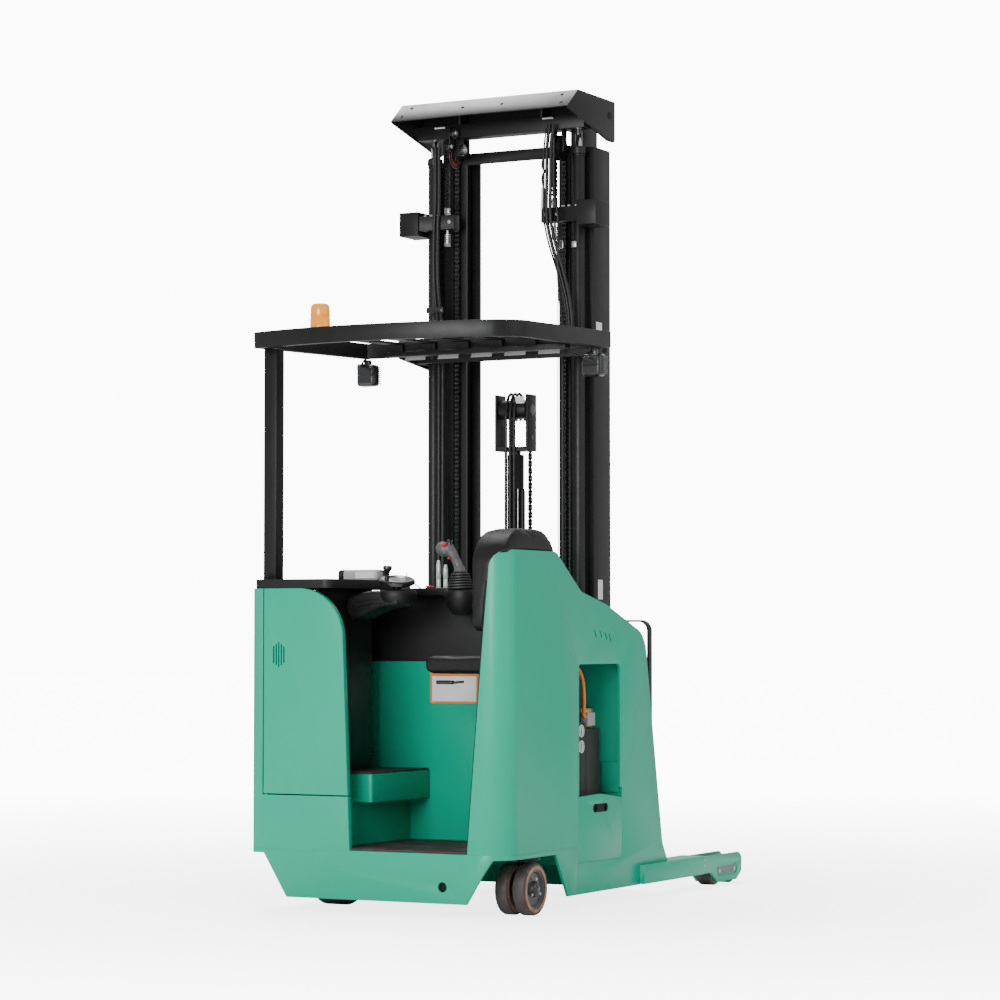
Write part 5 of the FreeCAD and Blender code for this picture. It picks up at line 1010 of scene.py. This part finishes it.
# ---------------------------------------------------------------- wheels
class TRUCK_OT_wheels(TruckPiece, bpy.types.Operator):
    """Caster pair, load wheels and drive wheel"""

    bl_idname = "truck.wheels"
    bl_label = "Wheels"

    def build(self):
        x, y, z = CASTER
        r = z
        for name, cx in (("inner", x - 0.0395), ("outer", x + 0.0395)):
            half = 0.0275
            self.tread("caster_tread_" + name, "caster_wheels", at(cx, y, z), half, r, 0.078,
                       (0.008, 0.003, 0.009), 72, ("caster_wheels",) if name == "inner" else ())
            form = Form()
            for s in (-1, 1):
                form.band(at(cx + s * half, y, z), (s, 0, 0), (-0.004, 0.0006), 0.078, 0.0925, 72)
            form.done("caster_edge_" + name, "caster_wheels", tread_edge(), "tyre_pu", 30)
            form = Form()
            form.turned(at(cx, y, z), (1, 0, 0),
                mirrored([(-half + 0.003, 0.0), (-half + 0.003, 0.03), (-half + 0.012, 0.034),
                (-half + 0.012, 0.062), (-half + 0.002, 0.07), (-half + 0.002, 0.0785)]), 64)
            form.done("caster_hub_" + name, "caster_wheels", hub_enamel(), "tyre_pu", 30)
        form = Form()
        cap = x + 0.067
        form.turned(at(cap - 0.006, y, z), (1, 0, 0),
                    mm((0, 30), (4, 30.5), (10, 27), (15, 18), (17, 8), (17.5, 0)), 48)
        form.done("caster_cap", "caster_wheels", gloss_black(), "lamp_black", 45)
        places = [((cap - 0.0005, y + 0.04 * math.cos(a), z + 0.04 * math.sin(a)), (1, 0, 0))
                  for a in (math.radians(90 + 120 * k) for k in range(3))]
        bolts("caster_bolts", places, 0.0045, 0.004, "caster_wheels", zinc())
        form = Form()
        form.turned(at(x - 0.012, y, z), (1, 0, 0), [(0, 0.01), (0.024, 0.01)], 24)
        for nut in (x - 0.011, x + 0.004):
            form.turned(at(nut, y, z), (1, 0, 0), [(0, 0.016), (0.007, 0.016)], 6)
        form.done("caster_axle", "caster_wheels", zinc(), "chrome_rod")
        rounded("caster_fork", forged(), 0.002)
        for label, side in SIDES:
            for i, where in enumerate(("rear", "front")):
                node = "load_wheel_%s_%s" % (label, where)
                centre = at(side * LOAD_WHEEL_X, LOAD_WHEEL_Y + LOAD_WHEEL_STEP * i,
                            LOAD_WHEEL_RADIUS)
                half = 0.034
                self.tread(node + "_tread", node, centre, half, LOAD_WHEEL_RADIUS, 0.042,
                           (0.006, 0.002, 0.006), 64, (node,))
                form = Form()
                for s in (-1, 1):
                    form.band(centre + Vector((s * half, 0, 0)), (s, 0, 0), (-0.003, 0.0005), 0.042,
                        0.0555, 48)
                form.done(node + "_edge", node, tread_edge(), "tyre_pu", 30)
                form = Form()
                form.ring(centre, (1, 0, 0),
                          mirrored([(-half + 0.002, 0.0132), (-half + 0.002, 0.024),
                                    (-half + 0.006, 0.03), (-half + 0.006, 0.0425)]), 48)
                form.done(node + "_hub", node, hub_enamel(), "tyre_pu", 30)
        x, y, r = DRIVE_WHEEL
        centre = at(x, y, r)
        half = 0.057
        self.tread("drive_tread", "drive_wheel", centre, half, r, 0.13, (0.012, 0.004, 0.012), 72,
                   ("drive_wheel",))
        form = Form()
        form.ring(centre, (1, 0, 0),
                  [(-half + 0.004, 0.0305), (-half + 0.004, 0.06), (-half + 0.018, 0.07)]
                  + mirrored([(-half + 0.018, 0.115), (-half + 0.002, 0.124),
                              (-half + 0.002, 0.1305)]) + [(half - 0.018, 0.0305)], 64)
        form.done("drive_hub", "drive_wheel", hub_enamel(), "tyre_pu", 30)
        places = [((x - half + 0.005, y + 0.045 * math.cos(a), r + 0.045 * math.sin(a)), (-1, 0, 0))
                  for a in (FULL_TURN * k / 7 for k in range(7))]
        bolts("drive_bolts", places, 0.009, 0.008, "drive_wheel", zinc())
        rounded("drive_unit", forged(), 0.003)
        rounded("axle_mounts", forged(), 0.002)

    def tread(self, name, body, centre, half, radius, inner, shoulder, sides, replaces):
        """Tyre across x; the shoulder is its drop, its chamfer and its start from the side."""
        drop, chamfer, start = shoulder
        form = Form().ring(centre, (1, 0, 0),
                           mirrored([(-half, inner), (-half, radius - drop),
                                     (-half + chamfer, radius - chamfer), (-half + start, radius)]),
                           sides)
        form.done(name, body, polyurethane(), "tyre_pu", 40, replaces)


# ---------------------------------------------------------------- mast
class TRUCK_OT_mast(TruckPiece, bpy.types.Operator):
    """Three mast stages with rollers, ties, crown cover, cylinders and anchors"""

    bl_idname = "truck.mast"
    bl_label = "Mast"

    def build(self):
        for node in ("outer_mast", "middle_mast", "inner_mast", "mast_hood", "anchor_brackets"):
            rounded(node, powder(), 0.002)
        rounded("lift_barrels", forged(), 0.002)
        rounded("lift_rods", chrome(), 0.001)
        self.crown()
        self.anchors()
        self.cylinders()
        form = Form()
        for side in (-1, 1):
            form.turned(at(side * 0.352, 1.24, 0.42), (side, 0, 0), disc(0.03, 0.002), 24)
        form.done("roller_faces", "mast_middle", zinc(), "chrome_rod")
        places = [((side * x, 1.0297, z), (0, -1, 0)) for side in (-1, 1) for z in (2.315, 2.371)
                  for x in (0.1, 0.24, 0.32)]
        bolts("tie_bolts", places, 0.008, 0.006, "chassis", hub_enamel())

    def crown(self):
        # Painted shade: the crown bolt heads are given the near-black hole-shade colour
        places = [((x, 0.854 + 0.101 * t, 3.327 + 0.084 * t), (0, -0.639, 0.769))
                  for x, t in ((-0.385, 0.25), (-0.365, 0.75), (-0.1, 0.5), (0.09, 0.5),
                               (0.365, 0.75), (0.385, 0.25))]
        bolts("shaded_crown_bolts", places, 0.0055, 0.002, "mast_middle", painted_hole_shade())
        form = Form().box(-0.4255, 0.4255, 1.1355, 1.1385, 3.3285, 3.4075, 0.0005, 1)
        form.done("hood_closing", "mast_middle", powder(), "black_paint")
        # Painted shade: a near-black disc stands in for the shade inside the hole in the crown
        form = Form()
        form.turned(at(0.4272, 1.262, 3.345), (1, 0, 0), disc(0.016, 0.0009), 28)
        form.done("crown_hole_shade", "mast_middle", painted_hole_shade(), "black_paint")
        rounded("mast_sheaves", forged(), 0.0015)
        form = Form()
        for side in (-1, 1):
            form.band(at(side * SHEAVE_X, SHEAVE_Y, SHEAVE_Z), (-side, 0, 0), (-0.001, 0.0012),
                0.033, 0.037, 40)
        form.done("sheave_rings", "mast_middle", signal_red(), "black_paint")
        form = Form()
        for side in (-1, 1):
            form.band(at(side * SHEAVE_X, SHEAVE_Y, SHEAVE_Z), (-side, 0, 0), (-0.001, 0.0008),
                0.0515, 0.0535, 48)
            form.turned(at(side * SHEAVE_X, SHEAVE_Y, SHEAVE_Z), (-side, 0, 0),
                mm((0, 12), (3, 12), (4, 9), (4, 0)), 24)
        form.done("sheave_rims", "mast_middle", plain("Bare rim", (0.25, 0.25, 0.25), 0.35,
                                                    metallic=0.8), "chrome_rod")
        arc = [(r * math.cos(math.pi * k / 18), r * math.sin(math.pi * k / 18))
               for r, steps in ((0.0535, range(19)), (0.037, range(18, -1, -1))) for k in steps]
        form = Form()
        for x in (-0.271, 0.253):
            form.prism([at(x, SHEAVE_Y + y, SHEAVE_Z + z) for y, z in arc], (0.018, 0, 0))
        form.done("chain_wraps", "mast_middle", oiled_steel(), "chain_steel")
        spots = ((-0.229, 1.046, 3.232), (-0.199, 1.03, 3.284), (-0.172, 1.058, 3.212))
        form = Form()
        for x, y, z in spots:
            form.turned(at(x - 0.018, y, z), (1, 0, 0), mm((0, 0), (0, 24), (4, 26), (6, 22),
                (10, 22), (12, 26), (16, 24), (16, 0)), 32)
        form.done("hose_rollers", "mast_middle", gloss_black(), "black_paint")
        form = Form()
        form.box(-0.226, -0.222, 1.01, 1.055, 3.235, 3.312, 0.002, 2)
        form.box(-0.247, -0.19, 1.074, 1.08, 3.19, 3.267, 0.002, 2)
        form.done("roller_plates", "mast_middle", powder(), "black_paint")
        bolts("roller_bolts", [((x - 0.002, y, z), (1, 0, 0)) for x, y, z in spots], 0.0095, 0.008,
              "mast_middle", zinc())
        form = Form()
        for x0 in (-0.315, 0.212):
            form.turned(at(x0, 1.048, 3.318), (1, 0, 0), disc(0.0065, 0.052), 20)
        form.done("head_studs", "mast_middle", zinc(), "chrome_rod")

    def anchors(self):
        places = [((x, 1.055, 2.93), (0, 0, 1))
                  for x in (-0.368, -0.339, -0.319, 0.305, 0.335, 0.37)]
        bolts("anchor_bolts", places, 0.008, 0.009, "chassis", zinc())
        places = [((x, 1.0298, 2.9), (0, -1, 0)) for x in (-0.309, -0.235, 0.235, 0.29)]
        bolts("anchor_face_bolts", places, 0.0055, 0.003, "chassis", zinc())
        form = Form()
        for side in (-1, 1):
            for k in range(5):
                form.band(at(side * CHAIN_X, ROD_Y, 2.812 + 0.009 * k), (0, 0, 1), (-0.002, 0.002),
                    0.01, 0.014, 20)
            form.turned(at(side * CHAIN_X, ROD_Y, 2.8), (0, 0, 1), [(0, 0.006), (0.07, 0.006)], 16)
            form.turned(at(side * CHAIN_X, ROD_Y, 2.796), (0, 0, 1), [(0, 0.015), (0.012, 0.015)],
                6)
            form.turned(at(side * CHAIN_X, ROD_Y, 2.931), (0, 0, 1), [(0, 0.014), (0.011, 0.014)],
                6)
            form.box(side * CHAIN_X - 0.011, side * CHAIN_X + 0.011, 1.055, 1.073, 2.9415, 2.966,
                0.003, 2)
        form.done("anchor_rods", "chassis", zinc(), "chrome_rod", 40)

    def cylinders(self):
        form = Form()
        for side in (-1, 1):
            x = side * 0.353
            form.band(at(x, CYLINDER_Y, 3.176), (0, 0, 1), (-0.012, 0.012), 0.0255, 0.0305, 40)
            form.band(at(x, CYLINDER_Y, 3.156), (0, 0, 1), (-0.002, 0.002), 0.0255, 0.0285, 40)
            form.band(at(x, CYLINDER_Y, 0.13), (0, 0, 1), (-0.02, 0.02), 0.0255, 0.032, 40)
        form.done("cylinder_collars", "chassis", forged(), "black_paint", 40)
        form = Form()
        form.box(0.4001, 0.4009, 1.18, 1.235, 2.4, 2.448, 0.0003, 1)
        form.box(0.4001, 0.4009, 1.195, 1.24, 1.262, 1.345, 0.0003, 1)
        form.done("mast_labels", "chassis", pale(), "chrome_rod")


class TRUCK_OT_chains(TruckPiece, bpy.types.Operator):
    """Leaf chains of the mast and of the free lift"""

    bl_idname = "truck.chains"
    bl_label = "Chains"

    def build(self):
        pitch = sizes().pitch
        for label, side in SIDES:
            x = side * CHAIN_X
            piece = chain_strand("long_chain_" + label, x, 1.154, 0.305, CHAIN_TOP, CHAIN_WIDTH,
                                 CHAIN_DEPTH, pitch)
            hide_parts("lift_chains")
            piece = chain_strand("short_chain_" + label, x, ROD_Y, 2.95, CHAIN_TOP, CHAIN_WIDTH,
                                 CHAIN_DEPTH, pitch)
            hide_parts("anchor_chains")


class TRUCK_OT_free_lift(TruckPiece, bpy.types.Operator):
    """Free lift cylinder, its head with sheaves, chains and hose loops"""

    bl_idname = "truck.free_lift"
    bl_label = "Free lift"

    def build(self):
        rounded("freelift_barrel", forged(), 0.002)
        rounded("freelift_rod", chrome(), 0.001)
        rounded("freelift_head", forged(), 0.002)
        low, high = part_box("freelift_head")
        side, rear, top = high.x, low.y - BACK, high.z
        form = Form()
        for z, r in ((top - 0.067, 0.024), (top - 0.185, 0.01)):
            for s in (-1, 1):
                form.turned(at(s * (side - 0.0005), HEAD_PIN_Y, z), (s, 0, 0),
                            [(0, r), (0.003, r), (0.0045, r * 0.8), (0.0045, 0.0)], 28)
        form.done("head_pins", "freelift_head", plain("Dull pin", (0.16, 0.16, 0.165), 0.32,
                                                     metallic=0.7), "chrome_rod")
        form = Form().box(0.02, 0.064, rear - 0.0012, rear + 0.0002, top - 0.04, top - 0.01,
            0.0003, 1)
        form.done("head_label", "freelift_head", pale(), "chrome_rod")
        for k, x in enumerate((-0.02, 0.0, 0.02)):
            form = Form()
            form.tube([at(x, rear - 0.01, 1.8), at(x, rear - 0.01, 1.95),
                at(x, rear - 0.009, 2.06), at(x, rear + 0.01, top - 0.018),
                at(x, HEAD_PIN_Y, top + 0.004), at(x, 1.238, top - 0.032), at(x, 1.251, 2.04)],
                0.0065, 12)
            form.done("head_hose_%d" % k, "freelift_head", hose_rubber(), "hose_rubber")
            stretched("free_hose_%d" % k,
                      [(x, rear - 0.01, z) for z in (0.95, 1.3, 1.6, 1.805)], 0.0065,
                      hose_rubber())
        form = Form()
        form.turned(at(0.044, 1.184, 0.9), (0, 0, 1), mm((0, 0), (0, 11), (830, 11), (840, 7),
            (840, 0)), 20)
        form.done("free_pipe", "mast_inner", forged(), "black_paint")
        form = Form()
        form.turned(at(0.032, 1.162, 0.92), (0, 0, 1), disc(0.0028, 0.82), 12)
        form.done("bright_pipe", "mast_inner", zinc(), "chrome_rod")
        pitch = sizes().free_pitch
        low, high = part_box("freelift_chains")
        for label, s in SIDES:
            piece = chain_strand("free_chain_" + label, s * 0.046,
                                 (low.y + high.y) / 2 - BACK, low.z + 0.002, high.z - 0.004, 0.017,
                                 0.0118, pitch)
            if s < 0:
                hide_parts("freelift_chains")


class TRUCK_OT_hoses(TruckPiece, bpy.types.Operator):
    """Hydraulic hoses with their clamps and fittings"""

    bl_idname = "truck.hoses"
    bl_label = "Hoses"

    def build(self):
        form = Form()
        for x, top in ((-0.301, 1.434), (-0.267, 1.414)):
            form.turned(at(x, 1.058, 1.29), (0, 0, 1), mm((0, 0), (0, 8), (20, 8)), 20)
            form.turned(at(x, 1.058, 1.308), (0, 0, 1), [(0, 0.0125), (0.011, 0.0125)], 6)
            form.turned(at(x, 1.058, 1.32), (0, 0, 1),
                        [(0, 0.01), (0.03, 0.01), (0.034, 0.0085), (0.038, 0.0105),
                         (top - 1.34, 0.0105), (top - 1.334, 0.0085), (top - 1.32, 0.007)], 24)
        form.done("hose_fittings", "chassis", plain("Fitting plate", (0.62, 0.62, 0.6), 0.35,
                                                   metallic=0.5), "chrome_rod")
        form = Form()
        form.box(-0.33, -0.262, 1.0215, 1.0295, 2.318, 2.342, 0.003, 2)
        form.box(0.286, 0.4, 1.0505, 1.07, 2.33, 2.352, 0.003, 2)
        form.box(-0.338, -0.262, 1.01, 1.029, 2.505, 2.53, 0.003, 2)
        form.done("hose_clamps", "chassis", gloss_black(), "black_paint")
        first, *_ = [
            stretched("long_hose_%d" % k,
                      [(x, 1.0523 + r, z) for z in (HOSE_FOOT, 1.788, 2.288, 2.408)]
                      + [(x, 1.015, 2.638), (x, 1.015, 2.878), (top, 1.015, 3.0),
                         (top, 1.015, HOSE_HEAD)],
                      r, hose_rubber(),
                      14)
            for k, (x, top, r) in enumerate(((-0.301, -0.295, 0.0075), (-0.283, -0.277, 0.0075),
                                             (0.301, 0.281, 0.0053)))]
        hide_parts("hoses_middle")
        for k, (dx, r) in enumerate(((0.0, 0.0075), (0.018, 0.0075), (-0.014, 0.004))):
            stretched("right_hose_%d" % k, [(0.262 + dx, 1.018, 3.286), (0.251 + dx, 1.014, 3.19),
                (0.25 + dx, 1.012, 3.05), (0.248 + dx, 1.012, 2.9), (0.258 + dx, 1.013, 2.83),
                (0.275 + dx, 1.015, 2.76), (0.308 + dx * 0.9, 1.017, 2.655),
                (0.336 + dx * 0.8, 1.019, 2.55), (0.35 + dx * 0.7, 1.02, 2.46),
                (0.352 + dx * 0.7, 1.021, 2.4)][::-1], r,
                hose_rubber(), 14)
        form = Form()
        form.turned(at(0.228, 1.016, 2.925), (0.03, 0, 1), mm((0, 0), (0, 6), (4, 8.5), (86, 8.5),
            (90, 6), (104, 5)), 20)
        form.done("cable_sleeve", "mast_middle", plain("Pale sleeve", (0.6, 0.6, 0.58), 0.4),
            "chrome_rod")
        form = Form()
        form.tube([at(0.23, 1.016, 3.02), at(0.226, 1.016, 3.06), at(0.236, 1.016, 3.085),
                   at(0.226, 1.016, 3.11), at(0.232, 1.016, 3.15)], 0.005, 12)
        form.done("cable_curl", "mast_middle", hose_rubber(), "hose_rubber")
        form = Form()
        form.box(0.29, 0.306, 1.052, 1.072, 2.755, 2.79, 0.002, 2)
        form.box(0.34, 0.362, 1.062, 1.078, 2.758, 2.784, 0.002, 2)
        form.done("pipe_clips", "chassis", zinc(), "chrome_rod")
        form = Form()
        form.tube([at(0.28, 1.058, 1.31), at(0.279, 1.058, 2.0), at(0.28, 1.058, 2.6),
                   at(0.281, 1.058, 2.868)], 0.0022, 10)
        form.done("thin_cable", "chassis", plain("Thin cable", (0.16, 0.16, 0.16), 0.4),
            "hose_rubber")


# ---------------------------------------------------------------- carriage
class TRUCK_OT_carriage(TruckPiece, bpy.types.Operator):
    """Lift carriage, scissor, fork carriage, backrest and forks"""

    bl_idname = "truck.carriage"
    bl_label = "Carriage and forks"

    def build(self):
        for node, width in (("lift_carriage", 0.002), ("reach_arm_a", 0.003),
                ("reach_arm_b", 0.003), ("reach_head", 0.002), ("fork_frame", 0.003),
                ("load_backrest", 0.002), ("forks", 0.004)):
            rounded(node, forged(), width)
        places = [((side * 0.258, 1.24, z), (side, 0, 0)) for side in (-1, 1) for z in (0.24, 0.82)]
        bolts("carriage_bolts", places, 0.008, 0.006, "lift_carriage", zinc())
        form = Form()
        for side in (-1, 1):
            form.turned(at(side * 0.2215, 1.316, 0.925), (side, 0, 0),
                        mm((0, 16), (4, 16), (6, 12)), 24)
        form.done("pin_heads", "lift_carriage", zinc(), "chrome_rod")


# ---------------------------------------------------------------- battery bay
class TRUCK_OT_battery_bay(TruckPiece, bpy.types.Operator):
    """Battery block, cables, plug and tags behind the side window"""

    bl_idname = "truck.battery_bay"
    bl_label = "Battery bay"

    def build(self):
        rounded("battery_pack", battery_grey(), 0.006, 3)
        rounded("battery_connector", plug_grey(), 0.003, 3)
        low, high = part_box("battery_pack")
        rear, top, x = low.y - BACK, high.z, high.x
        # Painted shade: a flat near-black slot stands in for the shade inside the hand slot's
        # opening
        form = Form()
        face = node_face("battery_panel", 1, 0)
        for y in (SLOT_Y - SLOT_HALF, SLOT_Y + SLOT_HALF):
            form.turned(at(face, y, SLOT_Z), (1, 0, 0), disc(0.017, 0.0006), 28)
        form.box(face, face + 0.0006, SLOT_Y - SLOT_HALF, SLOT_Y + SLOT_HALF, SLOT_Z - 0.017,
                 SLOT_Z + 0.017, 0.0001, 1)
        form.done("hand_slot_shade", "chassis", painted_hole_shade(), "black_paint")
        form = Form().box(0.3, x, high.y - BACK + 0.0005, 1.006, low.z, top - 0.021, 0.005, 2)
        form.done("battery_end", "chassis", battery_grey(), "black_paint")
        form = Form()
        for k in range(4):
            form.box(x - 0.001, x + 0.0015, rear + 0.03 + 0.034 * k, rear + 0.033 + 0.034 * k,
                     low.z + 0.02, top - 0.03, 0.0006, 1)
        form.done("battery_ribs", "chassis", battery_grey(), "black_paint")
        for name, way, material, slot, replaces in (
                ("orange_cable",
                 ((-0.01, 0.03, 0.001), (-0.012, 0.03, 0.11), (-0.01, 0.044, 0.19),
                  (-0.004, 0.074, 0.232), (0.006, 0.104, 0.226), (0.012, 0.132, 0.176),
                  (0.006, 0.156, 0.1), (-0.006, 0.176, 0.04), (-0.01, 0.197, 0.026)),
                 orange_cable(), "cable_orange", ("battery_cables",)),
                ("black_cable",
                 ((-0.034, 0.062, 0.001), (-0.034, 0.062, 0.12), (-0.026, 0.088, 0.19),
                  (-0.016, 0.116, 0.2), (-0.014, 0.146, 0.14), (-0.026, 0.174, 0.05),
                  (-0.034, 0.197, 0.01)), hose_rubber(), "hose_rubber", ())):
            form = Form()
            form.tube([at(x + a, rear + b, top + c) for a, b, c in way], 0.0075, 16)
            form.done(name, "chassis", material, slot, 35, replaces)
        form = Form()
        for k in range(7):
            y = rear + 0.108 + 0.01 * k
            form.band(at(x - 0.085, y, top + 0.052), (0, 1, 0), (-0.004, 0.004), 0.008, 0.03, 28)
        form.turned(at(x - 0.085, rear + 0.1, top + 0.052), (0, 1, 0), disc(0.024, 0.078), 28)
        form.box(x - 0.12, x - 0.054, rear + 0.096, rear + 0.182, top + 0.0002, top + 0.03, 0.004,
            2)
        form.done("ribbed_plug", "chassis", gloss_black(), "black_paint")
        form = Form().box(x - 0.0521, x - 0.051, 0.975, 1.025, 0.727, 0.8, 0.0004, 1)
        form.done("plug_tag", "chassis", plain("Yellow tag", (0.85, 0.6, 0.02), 0.45),
            "cable_orange")
        form = Form()
        for z in (0.713, 0.648):
            form.turned(at(x, rear + 0.143, z), (1, 0, 0), mm((-1, 26), (1.2, 26), (1.4, 0)), 36)
        form.done("round_tags", "chassis", pale(), "plug_grey")
        form = Form()
        for z in (0.713, 0.648):
            form.band(at(x + 0.0014, rear + 0.143, z), (1, 0, 0), (-0.0002, 0.0004), 0.017, 0.02,
                36)
            form.box(x + 0.0012, x + 0.0018, rear + 0.139, rear + 0.147, z - 0.012, z + 0.012,
                0.0002, 1)
        form.done("tag_marks", "chassis", gloss_black(), "black_paint")
        form = Form().box(0.49, 0.5695, 1.0405, 1.0465, 0.452, 0.579, 0.002, 2)
        form.done("bay_plate", "chassis", enamel(), "green_paint")


# ---------------------------------------------------------------- stage
class TRUCK_OT_stage(TruckPiece, bpy.types.Operator):
    """Pale floor, soft lights and the camera"""

    bl_idname = "truck.stage"
    bl_label = "Stage"

    def build(self):
        mesh = bpy.data.meshes.new("Studio floor")
        r = FLOOR_HALF
        mesh.from_pydata([(-r, -r, 0), (r, -r, 0), (r, r, 0), (-r, r, 0)], [], [(0, 1, 2, 3)])
        floor = linked("Studio floor", mesh)
        mat = bpy.data.materials.new("Studio white")
        mat.use_nodes = True
        shader = mat.node_tree.nodes["Principled BSDF"]
        put(shader, {"Base Color": (0.95, 0.95, 0.95, 1), "Roughness": 0.9,
                     "Specular IOR Level": 0.1, "Emission Color": (1, 1, 1, 1)})
        level = self.seen_only(mat.node_tree, shader.inputs["Emission Strength"], 0.0, 3.0)
        place = mat.node_tree.nodes.new("ShaderNodeTexCoord")
        reach = mat.node_tree.nodes.new("ShaderNodeVectorMath")
        reach.operation = "LENGTH"
        fade = mat.node_tree.nodes.new("ShaderNodeMapRange")
        put(fade, {"From Min": 1.2, "From Max": 9.0, "To Min": 3.5, "To Max": 11.0})
        mat.node_tree.links.new(place.outputs["Object"], reach.inputs[0])
        mat.node_tree.links.new(reach.outputs["Value"], fade.inputs["Value"])
        mat.node_tree.links.new(fade.outputs["Result"], level.inputs["To Max"])
        mesh.materials.append(mat)
        world = bpy.data.worlds.new("Studio")
        world.use_nodes = True
        back = world.node_tree.nodes["Background"]
        put(back, {"Color": (1, 1, 1, 1)})
        self.seen_only(world.node_tree, back.inputs["Strength"], 0.62, 11.0)
        bpy.context.scene.world = world
        for name, place, size, power in (("Key", (0.9, -7.6, 2.6), 3.0, 380.0),
                                         ("Side", (7.0, -0.5, 3.6), 5.0, 80.0),
                                         ("Top", (-2.3, 1.3, 7.6), 3.4, 560.0),
                                         ("Rear", (-2.0, 7.0, 5.0), 5.0, 70.0)):
            lamp = bpy.data.lights.new(name, "AREA")
            lamp.size = size
            lamp.energy = power
            light = linked(name, lamp)
            light.location = place
            aim = Vector((0, 0, 1.3)) - light.location
            light.rotation_euler = aim.to_track_quat("-Z", "Y").to_euler()
        eye = bpy.data.cameras.new("Camera")
        eye.sensor_width = 36.0
        eye.lens = sizes().lens_mm
        eye.clip_end = 200.0
        camera = linked("Camera", eye)
        camera.location = at(6.118, -10.468, 1.099)
        camera.rotation_euler = (math.radians(92.587), 0, math.radians(27.96))
        bpy.context.scene.camera = camera

    def seen_only(self, tree, socket, dim, bright):
        """Brighter where the backdrop is looked at than where it only lights the truck."""
        path = tree.nodes.new("ShaderNodeLightPath")
        level = tree.nodes.new("ShaderNodeMapRange")
        put(level, {"To Min": dim, "To Max": bright})
        tree.links.new(path.outputs["Is Camera Ray"], level.inputs["Value"])
        tree.links.new(level.outputs["Result"], socket)
        return level


PIECES = (TRUCK_OT_finishes, TRUCK_OT_body_panels, TRUCK_OT_body_fittings, TRUCK_OT_cushions,
          TRUCK_OT_controls, TRUCK_OT_guard, TRUCK_OT_wheels, TRUCK_OT_mast, TRUCK_OT_chains,
          TRUCK_OT_free_lift, TRUCK_OT_hoses, TRUCK_OT_carriage, TRUCK_OT_battery_bay,
          TRUCK_OT_stage)


class TRUCK_PT_builder(bpy.types.Panel):
    """Buttons that build the truck, and its settings"""

    bl_idname = "TRUCK_PT_builder"
    bl_label = "Reach Truck"
    bl_space_type = "VIEW_3D"
    bl_region_type = "UI"
    bl_category = "Reach Truck"

    def draw(self, context):
        layout = self.layout
        for group in (colours(), sizes()):
            box = layout.box()
            for name in group.bl_rna.properties.keys():
                if name not in ("rna_type", "name"):
                    box.prop(group, name)
        column = layout.column(align=True)
        for piece in PIECES:
            column.operator(piece.bl_idname)


CLASSES = (TruckColours, TruckSizes) + PIECES + (TRUCK_PT_builder,)


def register():
    for cls in CLASSES:
        bpy.utils.register_class(cls)
    bpy.types.Scene.truck_colours = PointerProperty(type=TruckColours)
    bpy.types.Scene.truck_sizes = PointerProperty(type=TruckSizes)


def unregister():
    del bpy.types.Scene.truck_sizes
    del bpy.types.Scene.truck_colours
    for cls in reversed(CLASSES):
        bpy.utils.unregister_class(cls)


def main():
    register()
    for piece in PIECES:
        group, name = piece.bl_idname.split(".")
        getattr(getattr(bpy.ops, group), name)()


if __name__ == "__main__":
    main()
